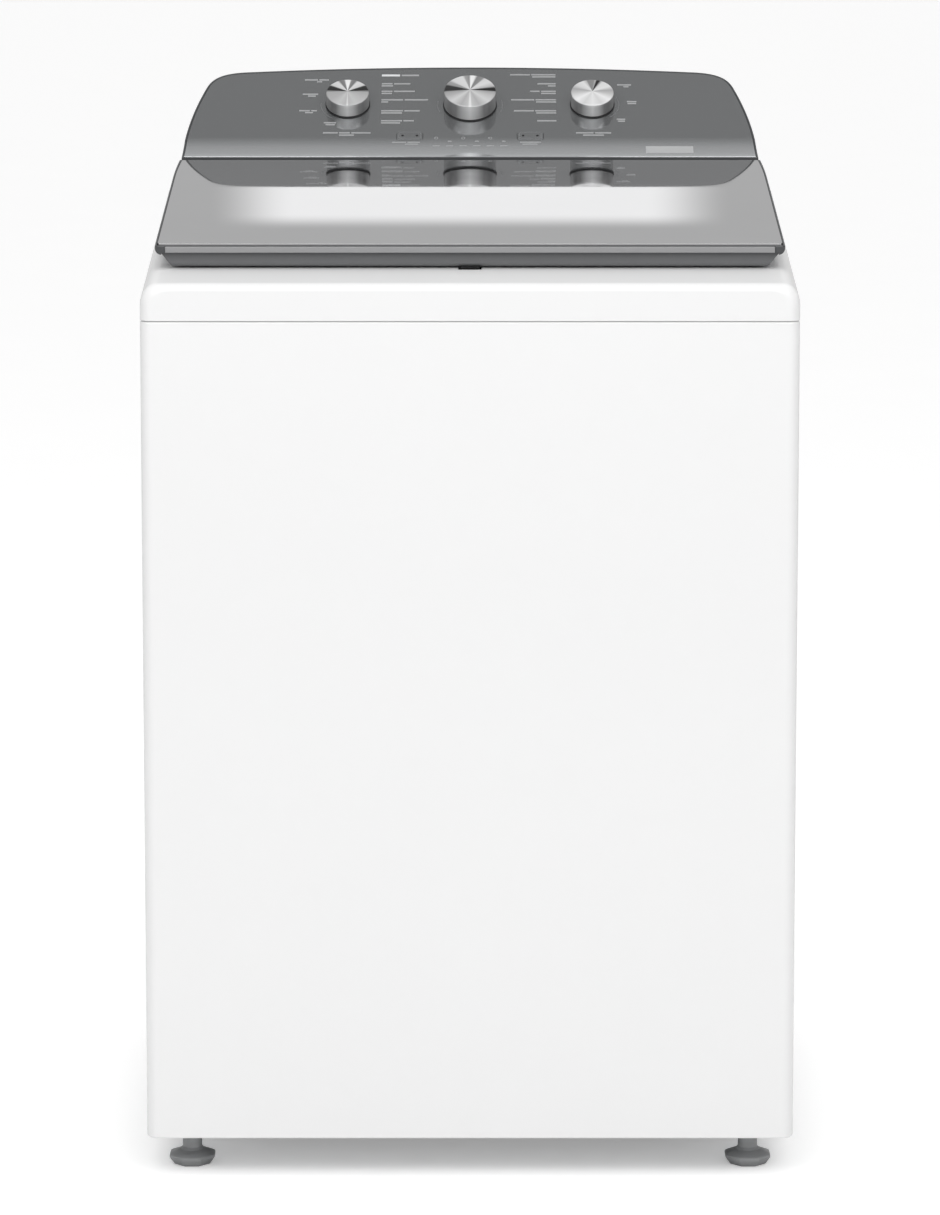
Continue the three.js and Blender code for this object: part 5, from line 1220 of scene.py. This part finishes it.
# ---------------------------------------------------------------- tub unit
TUB_WALL, TUB_BEND = 3.2, 46
LUG_TOP = reach("suspension_spring_front_left")[1].z + 12 + GAP
TUB_FLOOR, TUB_TOP = LUG_TOP - 80, ring_lo.z + 14
NECK_DROP, RIB_DROP, POST_DROP = 20, 18, 38  # what the pump's neck, the ribs and the posts reach below it
PUMP_X, PUMP_Y = -150, 150  # from the tub's axis
tub_radius = ring_hi.x - 3.6
tub_inner = tub_radius - TUB_WALL


def bend(radius, low, turn, wall=0.0):
    """Quarter round between a floor and a wall, as (radius, z)."""
    return [
        (radius - turn + (turn - wall) * math.sin(a), low + wall + (turn - wall) * (1 - math.cos(a)))
        for a in quarter(10)
    ]


def pipe(bore, radius, low, high, steps):
    return lathe([(bore, low), (radius, low), (radius, high), (bore, high)], steps)


def build_lug(x, y):
    """Arm with two gussets that sits on a suspension spring."""
    out = math.hypot(ROD_X, ROD_Y)
    arm = prism([
        (tub_radius - 12, -26), (out, -17), (out + 14, -9), (out + 14, 9), (out, 17), (tub_radius - 12, 26),
    ], LUG_TOP - 12, LUG_TOP)
    arm = cut(arm, drum(7.5, LUG_TOP - 20, LUG_TOP + 5, 24, out))
    gussets = [along_y([
        (tub_radius - 6, LUG_TOP - 1), (out - 14, LUG_TOP - 1), (tub_radius - 2, LUG_TOP + 74),
        (tub_radius - 6, LUG_TOP + 74),
    ], w - 1.5, w + 1.5) for w in (-3, 3)]
    return turned(join(arm, *gussets), math.atan2(y * ROD_Y, x * ROD_X))


bowl = lathe(
    [(34, TUB_FLOOR)] + bend(tub_radius, TUB_FLOOR, TUB_BEND) + [(tub_radius, TUB_TOP), (tub_inner, TUB_TOP)]
    + bend(tub_radius, TUB_FLOOR, TUB_BEND, TUB_WALL)[::-1] + [(34, TUB_FLOOR + TUB_WALL)], 128,
)
rib = along_y([
    (63, TUB_FLOOR - RIB_DROP), (tub_radius - 66, TUB_FLOOR - 10), (tub_radius - 38, TUB_FLOOR + 2),
    (63, TUB_FLOOR + 1),
], -1.6, 1.6)
hoops = [lathe(raised(TUB_FLOOR + up, [
    (tub_radius - 1, 0), (tub_radius + 2.6, 0.6), (tub_radius + 2.6, 2.4), (tub_radius - 1, 3),
]), 128) for up in (200, 330, 450)]
lugs = [build_lug(x, y) for x, y in CORNERS.values()]
post = shifted(pipe(0, 9, TUB_FLOOR - POST_DROP + GAP, TUB_FLOOR + 1, 24), 105, 0)
neck = shifted(pipe(15, 19, TUB_FLOOR - NECK_DROP, TUB_FLOOR + 1, 40), PUMP_X, PUMP_Y)
tub = join(bowl, around(rib, 12), *hoops, *lugs, around(post, 4, math.pi / 4), neck)
piece("outer_tub", tub, TUB, "tub_unit", "pale_plastic", "tub")

outer, mouth_radius, low, high = ring_hi.x, tub_radius - 47, ring_lo.z, ring_hi.z
piece("tub_rim", lathe([
    (tub_radius + GAP, low), (outer, low), (outer, TUB_TOP + 8), (outer - 1, TUB_TOP + 11),
    (outer - 4, high - 2), (outer - 8, high), (mouth_radius + 3, high), (mouth_radius + 0.8, high - 0.8),
    (mouth_radius, high - 3), (mouth_radius + 0.4, high - 7), (mouth_radius + 3, high - 6),
    (mouth_radius + 4, high - 4), (outer - 11, high - 4), (tub_inner, TUB_TOP + 4), (tub_inner, TUB_TOP + GAP),
    (tub_radius + GAP, TUB_TOP + GAP),
], 160), TUB, "tub_unit", "pale_plastic", "tub_ring")


def perforated_wall(radius, thickness, low, high, columns, rows, hole):
    """Upright cylinder wall with staggered round holes, as one closed skin with its edge rings."""
    points, faces = [], []
    pitch, step = (high - low) / rows, 2 * math.pi / columns

    def add(r, places):
        points.extend((r * math.cos(a), r * math.sin(a), z) for a, z in places)
        return list(range(len(points) - len(places), len(points)))

    for column in range(columns):
        for row in range(rows):
            a, z = (column + 0.5) * step, low + (row + 0.5) * pitch
            border = [(a + step * u / 2, z + pitch * v / 2) for u, v in (
                (1, 0), (1, 1), (0, 1), (-1, 1), (-1, 0), (-1, -1), (0, -1), (1, -1),
            )]
            drilled = (column + row) % 2 == 0
            rim = [(a + hole * math.cos(turn) / radius, z + hole * math.sin(turn)) for turn in spaced(8)]
            skins = []
            for r in (radius, radius - thickness):
                edge, ring = add(r, border), add(r, rim) if drilled else add(r, [(a, z)]) * 8
                skins.append((edge, ring))
                for k, n in zip(range(8), (1, 2, 3, 4, 5, 6, 7, 0)):
                    face = tuple(dict.fromkeys((edge[k], edge[n], ring[n], ring[k])))
                    faces.append(face if r == radius else face[::-1])
            edges, rings = zip(*skins)
            seams = [(rings, k) for k in range(8) if drilled]
            seams += [(edges, k) for k in (5, 6) if row == 0] + [(edges, k) for k in (1, 2) if row == rows - 1]
            for (outside, inside), k in seams:
                n = (k + 1) % 8
                faces.append((outside[k], outside[n], inside[n], inside[k]))
    return mesh_of(points, faces)


BASKET_SHEET, BASKET_BEND = 1.5, 32
WALL_LOW, WALL_HIGH = basket_lo.z + 50, basket_hi.z - 30
outer, low, high = basket_hi.x - 5.2, basket_lo.z, basket_hi.z
inner = outer - BASKET_SHEET
wall = perforated_wall(outer, BASKET_SHEET, WALL_LOW, WALL_HIGH, 72, 22, 2.4)
lower = lathe(
    [(46, low), (70, low)] + bend(outer, low + 4, BASKET_BEND) + [(outer, WALL_LOW), (inner, WALL_LOW)]
    + bend(outer, low + 4, BASKET_BEND, BASKET_SHEET)[::-1]
    + [(70, low + BASKET_SHEET), (46, low + BASKET_SHEET)], 144,
)
upper = lathe([
    (inner, WALL_HIGH), (outer, WALL_HIGH), (outer, high - 12), (outer + 2.6, high - 9),
    (outer + 2.6, high - 4), (basket_hi.x, high - 1.4), (basket_hi.x, high), (inner + 1, high),
    (inner, high - 1),
], 144)
piece("wash_drum", join(wall, lower, upper), TUB, "wash_basket", "stainless", "basket", sharp=40)

outer, (low, high) = reach("balance_ring")[1].x, standing("balance_ring")[2:]
inner = outer - 38
piece("balance", lathe([
    (inner + 6, low), (outer - 3, low), (outer - 0.8, low + 1), (outer, low + 3), (outer, high - 6),
    (outer - 1.6, high - 1.8), (outer - 6, high), (inner + 12, high), (inner + 6, high - 1.6),
    (inner + 1.6, high - 6), (inner, high - 12), (inner, low + 7), (inner + 1.8, low + 1.6),
], 160), TUB, "wash_basket", "balance_plastic", "balance_ring", sharp=60)


# ---------------------------------------------------------------- wash plate
PLATE_RADIUS, PLATE_RISE = reach("impeller")[1].y - AXIS_Y, 42
PLATE_LOW = basket_lo.z + BASKET_SHEET + 9
PLATE_EDGE = PLATE_RADIUS - 0.6
# Height over radius, as shares of the rise and the plate's radius.
PLATE_CURVE = (
    (1.0, 0.14), (0.92, 0.21), (0.63, 0.26), (0.45, 0.4), (0.33, 0.62), (0.24, 0.86), (0.14, 1.0), (0.0, 1.0),
)
VANE_HEIGHT, VANE_WIDTH, VANE_SWEEP, VANE_ROOT = 27, 17, 58 * DEG, 40
VANE_LENGTH = PLATE_RADIUS - 9 - VANE_ROOT


def plate_height(radius):
    share = radius / PLATE_RADIUS
    for (r0, h0), (r1, h1) in zip(PLATE_CURVE, PLATE_CURVE[1:]):
        if share >= r1:
            return PLATE_RISE * (h0 + (h1 - h0) * (share - r0) / (r1 - r0))


def vane_height(radius, angle):
    """Height that the swept vanes add at a place on the plate."""
    along = (radius - VANE_ROOT) / VANE_LENGTH
    if along <= 0 or along >= 1:
        return 0.0
    off = (angle - VANE_SWEEP * along ** 1.3 + math.pi / 4) % QUARTER - math.pi / 4
    slant = math.atan(radius * VANE_SWEEP * 1.3 * along ** 0.3 / VANE_LENGTH)
    distance = abs(off) * radius * math.cos(slant)
    tall = VANE_HEIGHT * math.sin(math.pi * (0.16 + 0.8 * along)) ** 0.8
    ends = min(along / 0.06, 1, (1 - along) / 0.05)
    share = max(0.0, 1 - (distance / (VANE_WIDTH * (1 - 0.35 * along) / 2)) ** 2)
    return tall * ends * min(1.0, 1.45 * share ** 0.75)


def ripple(radius, angle):
    """Fine radial flutes in a ring between the vanes' middles and the plate's edge."""
    fade = max(0, min(1, (radius - 120) / 30)) * max(0, min(1, (190 - radius) / 20))
    return 0.5 * math.cos(24 * angle) * fade


def build_wash_plate():
    turns, radial = spaced(360), 76
    count, rings = len(turns), []
    for radius in [PLATE_EDGE * i / radial for i in range(1, radial + 1)]:
        height = plate_height(radius)
        rings.append([(radius, a, height + vane_height(radius, a) + ripple(radius, a)) for a in turns])
    under = [(PLATE_EDGE, 0.4), (PLATE_RADIUS - 1.4, 0), (PLATE_RADIUS - 4, 0)]
    under += [(PLATE_RADIUS * r - 2, PLATE_RISE * h - 4) for r, h in PLATE_CURVE[1:6]] + [(24, 34), (20, -8)]
    rings += [[(radius, a, z) for a in turns] for radius, z in under]
    points = [(0, 0, PLATE_LOW + PLATE_RISE)]
    points += [(r * math.cos(a), r * math.sin(a), PLATE_LOW + z) for ring in rings for r, a, z in ring]
    faces = [(0, 1 + k, 1 + (k + 1) % count) for k in range(count)]
    faces += [tuple(1 + corner for corner in face) for face in grid(len(rings), count)]
    faces.append(tuple(len(points) - 1 - k for k in range(count)))
    return mesh_of(points, faces)


piece("wash_plate_moulding", build_wash_plate(), TUB, "wash_plate", "plate_plastic", "impeller", sharp=50)
cap_lo, cap_hi = reach("impeller_cap")
outer = cap_hi.y - AXIS_Y
piece("plate_cap", lathe(raised(cap_lo.z, [
    (0, 0), (outer - 0.6, 0), (outer, 0.8), (outer, 3), (outer - 1, 5), (outer - 5, 9), (outer - 10, 11.2),
    (outer - 16, 12.2), (0, 12.5),
]), 64), TUB, "wash_plate", "grey_plastic", "impeller_cap", sharp=60)


# ---------------------------------------------------------------- suspension
SPRING_RADIUS, SPRING_TURNS, WIRE = 17, 4, 2.1


def build_spring(low, high):
    steps = SPRING_TURNS * 28
    turns = [(k / steps, k / steps * SPRING_TURNS * 2 * math.pi) for k in range(steps + 1)]
    return sweep([(
        SPRING_RADIUS * math.cos(a), SPRING_RADIUS * math.sin(a),
        low + WIRE + 0.2 + t * (high - low - 2 * WIRE - 0.4),
    ) for t, a in turns], WIRE, 12)


for key, (side, end) in CORNERS.items():
    x, y = side * ROD_X, AXIS_Y + end * ROD_Y
    low, high = standing("suspension_spring_" + key)[2:]
    coil = piece("spring_" + key, build_spring(low, high), at(x, y), None, "stainless",
                 "suspension_spring_" + key, sharp=60)
    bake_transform(coil)
    low, high = standing("suspension_rod_" + key)[2:]
    rod = lathe(raised(low, [
        (0, 0), (12.4, 0), (13.4, 0.8), (20.4, 4.6), (20.8, 5.6), (20.8, 8.3), (20, 8.7), (5, 8.7),
    ]) + raised(high, [
        (5, -12), (10.6, -11.7), (11, -11), (11, -8), (10, -6.5), (7, -2), (4, -0.3), (0, 0),
    ]), 40)
    piece("rod_" + key, rod, at(x, y), "cabinet", "zinc_sheet", "suspension_rod_" + key)

hose_x, hose_y, hose_low, hose_high = standing("drain_hose")
waves = int((hose_high - hose_low - 40) / 6)
pitch = (hose_high - hose_low - 40) / waves
profile = [(11, hose_low), (13.6, hose_low), (13.6, hose_low + 20)]
for k in range(waves):
    profile += raised(hose_low + 20 + k * pitch, [
        (11.8, pitch * 0.15), (11.8, pitch * 0.45), (13.6, pitch * 0.6), (13.6, pitch),
    ])
profile += [(13.6, hose_high), (11, hose_high)]
hose = piece("drain_tube", lathe(profile, 32), at(hose_x, hose_y), None, "grey_plastic", "drain_hose")
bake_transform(hose)


# ---------------------------------------------------------------- drive
low = reach("drive_pulley")[0].z
wheel = lathe(raised(low, [
    (8.3, 0), (19, 2), (20, 6), (79, 6), (80, 0), (95, 0), (95, 2.4), (90, 3), (90, 13), (95, 13.6), (95, 16),
    (80, 16), (80, 10), (20, 10), (20, 24), (8.3, 24),
]))
for angle in spaced(6):
    wheel = cut(wheel, drum(17, low - 1, low + 26, 28, 50 * math.cos(angle), 50 * math.sin(angle)))
piece("pulley_wheel", wheel, TUB, "wash_plate", "black_plastic", "drive_pulley", bevel=0.5, clear=0.02)

low, high = standing("gearcase")[2:]
case = lathe(raised(low, [
    (8.5, 0), (29, 0), (30, 1), (34, 12), (50, 15), (53, 18), (57, 38), (58, 41),
]) + raised(high, [(61, -9), (62, -7), (62, 0), (15.5, 0)]) + raised(low, [(15.5, 16), (8.5, 16)]))
bolt = moved(screw_head(4, 4), Matrix.Translation((44, 0, low + 13.6)) @ Matrix.Rotation(math.pi, 4, "X"))
piece("gear_housing", join(case, around(bolt, 6)), TUB, "tub_unit", "cast_metal", "gearcase", bevel=0.4,
      clear=0.02)

motor_x, motor_y, low, high = standing("motor")
case = lathe(raised(low, [
    (7.5, 0), (21, 0), (22, 1), (26, 7), (30, 9), (52, 9.5), (57, 12), (62, 20),
]) + raised(high, [(62, -14), (60, -8), (56, -2), (53, 0), (7.5, 0)]))
case = cut(case, *[turned(prism(rounded(34, 50, -4.5, 4.5, 4, 5), low - 1, low + 13), a) for a in spaced(8)])
fin = block(61, 64.6, -1.4, 1.4, low + 26, high - 18)
piece("motor_case", join(case, around(fin, 24)), at(motor_x, motor_y), "tub_unit", "grey_plastic", "motor",
      bevel=0.3)
low, high = standing("motor_pulley")[2:]
piece("motor_wheel", lathe(raised(low, [
    (0, 0), (6, 0), (27, 0), (27.5, 1), (27.5, 4.6), (22.5, 5), (22.5, 15), (27.5, 15.4), (27.5, 18), (7, 21),
]) + raised(high, [(7, -1), (6, 0), (0, 0)]), 72), at(motor_x, motor_y), "motor_rotor", "stainless",
      "motor_pulley")


def belt_loop(large, small):
    """Outline of a belt round the large pulley, on the tub's axis, and the motor's small one."""
    dx, dy = motor_x, motor_y - AXIS_Y
    towards, reaching = math.atan2(dy, dx), math.acos((large - small) / math.hypot(dx, dy))
    return (
        arc(0, 0, large, towards + reaching, towards + 2 * math.pi - reaching, 48)
        + arc(dx, dy, small, towards - reaching, towards + reaching, 24)
    )


def build_belt():
    """Flat outside, six V ribs inside."""
    low, high = reach("drive_belt")[0].z + 0.1, reach("drive_belt")[1].z - 0.1
    outside, crest, root = belt_loop(94, 26.5), belt_loop(90.7, 23.2), belt_loop(91.6, 24.1)
    levels = [(outside, low), (outside, high)]
    levels += [(root if k % 2 else crest, low + (high - low) * k / 12) for k in reversed(range(13))]
    points = [(x, y, z) for loop, z in levels for x, y in loop]
    return mesh_of(points, grid(len(levels), len(outside), wrap_rows=True))


piece("belt", build_belt(), TUB, "tub_unit", "black_rubber", "drive_belt")

pump_x, pump_y, pump_top = PUMP_X, AXIS_Y + PUMP_Y, TUB_FLOOR - NECK_DROP - GAP
pump_foot = pump_top - 40
volute = lathe([
    (0, -40), (33, -40), (35, -39.4), (39, -36), (40, -34), (40, -13), (39, -11), (29, -1), (27, 0), (0, 0),
], 72)
outlet = sweep(smooth_path([
    (pump_x - 6, pump_y + 20, pump_foot + 16), (pump_x - 16, pump_y + 55, pump_foot + 6),
    (DRAIN_X + 10, pump_y + 104, pump_foot - 18), (DRAIN_X + 1, hose_y - 14, pump_foot - 17),
    (DRAIN_X, hose_y, pump_foot + 4), (DRAIN_X, hose_y, hose_low - GAP),
]), 12.8, 32)
piece("pump", join(shifted(volute, pump_x, pump_y, pump_top), outlet), ROW, "tub_unit", "pale_plastic",
      "drain_pump", bevel=0.5)
can = lathe([(0, -92), (8, -92), (9, -90), (24, -90), (27, -87), (27, -38), (0, -38)], 56)
piece("pump_motor", shifted(can, pump_x, pump_y, pump_top), ROW, "tub_unit", "black_plastic", bevel=0.5)

for node, body, finish, bevel in (
    ("drive_carrier", "tub_unit", "zinc_sheet", 0.6), ("base_frame", "cabinet", "zinc_sheet", 0.5),
    ("lid_hinge_left", "cabinet", "cast_metal", 0.5), ("lid_hinge_right", "cabinet", "cast_metal", 0.5),
    ("lid_lock", "cabinet", "black_plastic", 0.5), ("lid_strike", "lid", "black_plastic", 0.8),
):
    softened(node + "_part", node, body, finish, bevel)

# CAD nodes that stay take the finish that is called like their slot, or one of these.
for part in frame["record"]["subparts"]:
    slot = part["material_slot"]
    slots = nodes[part["node"]].data.materials
    slots.clear()
    slots.append(FINISHES[{"silver_gloss": "lid_silver", "spun_metal": "knob_cycle"}.get(slot, slot)])


# ---------------------------------------------------------------- studio
def stage_sheet(name, corners, material):
    mesh = mesh_of(corners, [tuple(range(len(corners)))])
    mesh.materials.append(material)
    item = bpy.data.objects.new(name, mesh)
    bpy.context.scene.collection.objects.link(item)
    return item


FLOOR = 60.0
paint = Surface("floor_paint", (0.93, 0.93, 0.93), 0.8, Specular_IOR_Level=0.1, Emission_Color=(1, 1, 1, 1))
paint.tint(paint.noise(3), 0.006).worn(paint.noise(5), 0.05)
seen = paint.node("LightPath").outputs["Is Camera Ray"]
paint.feed(paint.shader["Emission Strength"], paint.maths("MULTIPLY", seen, 0.3))
corners = [(x * FLOOR, y * FLOOR, 0) for x, y in ((-1, -1), (1, -1), (1, 1), (-1, 1))]
stage_sheet("floor", corners, paint.material)


def soft_glow(name, strength, side_tail, top_tail):
    """Glow that fades to nothing towards the sheet's sides and top."""
    material = bpy.data.materials.new(name)
    tree = Tree(material)
    tree.nodes.clear()
    x, _, z = tree.apart(tree.node("TexCoord").outputs["Generated"])
    masks = [tree.spread(away, 0, tail, interpolation_type="SMOOTHSTEP") for away, tail in (
        (tree.maths("PINGPONG", x, 0.5), side_tail), (tree.maths("SUBTRACT", 1.0, z), top_tail),
    )]
    clear = tree.node("BsdfTransparent").outputs["BSDF"]
    glow = tree.node("Emission", {"Strength": strength}).outputs["Emission"]
    blend = tree.node("MixShader", {"Fac": tree.maths("MULTIPLY", *masks), 1: clear, 2: glow})
    tree.node("OutputMaterial", {"Surface": blend.outputs["Shader"]})
    return material


# A soft strip over the console's foot, seen only by the glossy lid, which mirrors it above the console.
STRIP_BACK, STRIP_HALF, STRIP_LOW, STRIP_HIGH = 0.165, 0.30, 1.0855, 1.137
strip = stage_sheet("strip", [
    (-STRIP_HALF, STRIP_BACK, STRIP_LOW), (STRIP_HALF, STRIP_BACK, STRIP_LOW),
    (STRIP_HALF, STRIP_BACK, STRIP_HIGH), (-STRIP_HALF, STRIP_BACK, STRIP_HIGH),
], soft_glow("strip_glow", 0.97, 0.17, 0.36))
for ray in ("camera", "diffuse", "shadow", "transmission"):
    setattr(strip, "visible_" + ray, False)


def area(name, place, aim, size, power):
    lamp = bpy.data.lights.new(name, "AREA")
    lamp.shape = "RECTANGLE"
    lamp.size, lamp.size_y = size
    lamp.energy = power
    item = bpy.data.objects.new(name, lamp)
    item.location = place
    item.rotation_euler = (Vector(aim) - Vector(place)).to_track_quat("-Z", "Y").to_euler()
    item.visible_camera = False
    bpy.context.scene.collection.objects.link(item)
    return item


area("front_left", (-1.8, -2.6, 3.2), (0, -0.3, 0.6), (1.8, 2.2), 31)
area("front_right", (1.8, -2.6, 3.2), (0, -0.3, 0.6), (1.8, 2.2), 31)
overhead = area("overhead", (0, -0.6, 3.6), (0, 0.2, 1.1), (0.9, 0.9), 16)
overhead.visible_glossy = False  # from above, the flat console would mirror it as one white sheet

AMBIENT, SIDE_FALL = 0.96, 0.94  # soft light from the front and above, less of it from the sides
SKY_TONES = ((0.0, 0.6), (0.30, 0.47), (0.40, 0.45), (0.62, 0.40), (0.75, 0.29), (0.9, 0.29), (1.0, 0.24))
world = bpy.data.worlds.new("studio")
sky = Tree(world)
sky.nodes.clear()
x, _, z = sky.apart(sky.node("TexCoord").outputs["Generated"])
reflected = sky.ramp(z, [(height, (tone, tone, tone)) for height, tone in SKY_TONES])
ambient = sky.spread(sky.maths("MULTIPLY", x, x), 0, 1, AMBIENT, AMBIENT - SIDE_FALL)
rays = sky.node("LightPath").outputs
shown = sky.node("Background", {"Color": reflected, "Strength": 1.0}).outputs["Background"]
for ray, colour in (("Is Diffuse Ray", ambient), ("Is Camera Ray", (1, 1, 1, 1))):
    shade = sky.node("Background", {"Color": colour, "Strength": 1.0}).outputs["Background"]
    shown = sky.node("MixShader", {"Fac": rays[ray], 1: shown, 2: shade}).outputs["Shader"]
sky.node("OutputWorld", {"Surface": shown})
bpy.context.scene.world = world
bpy.context.scene.view_settings.view_transform = "Standard"
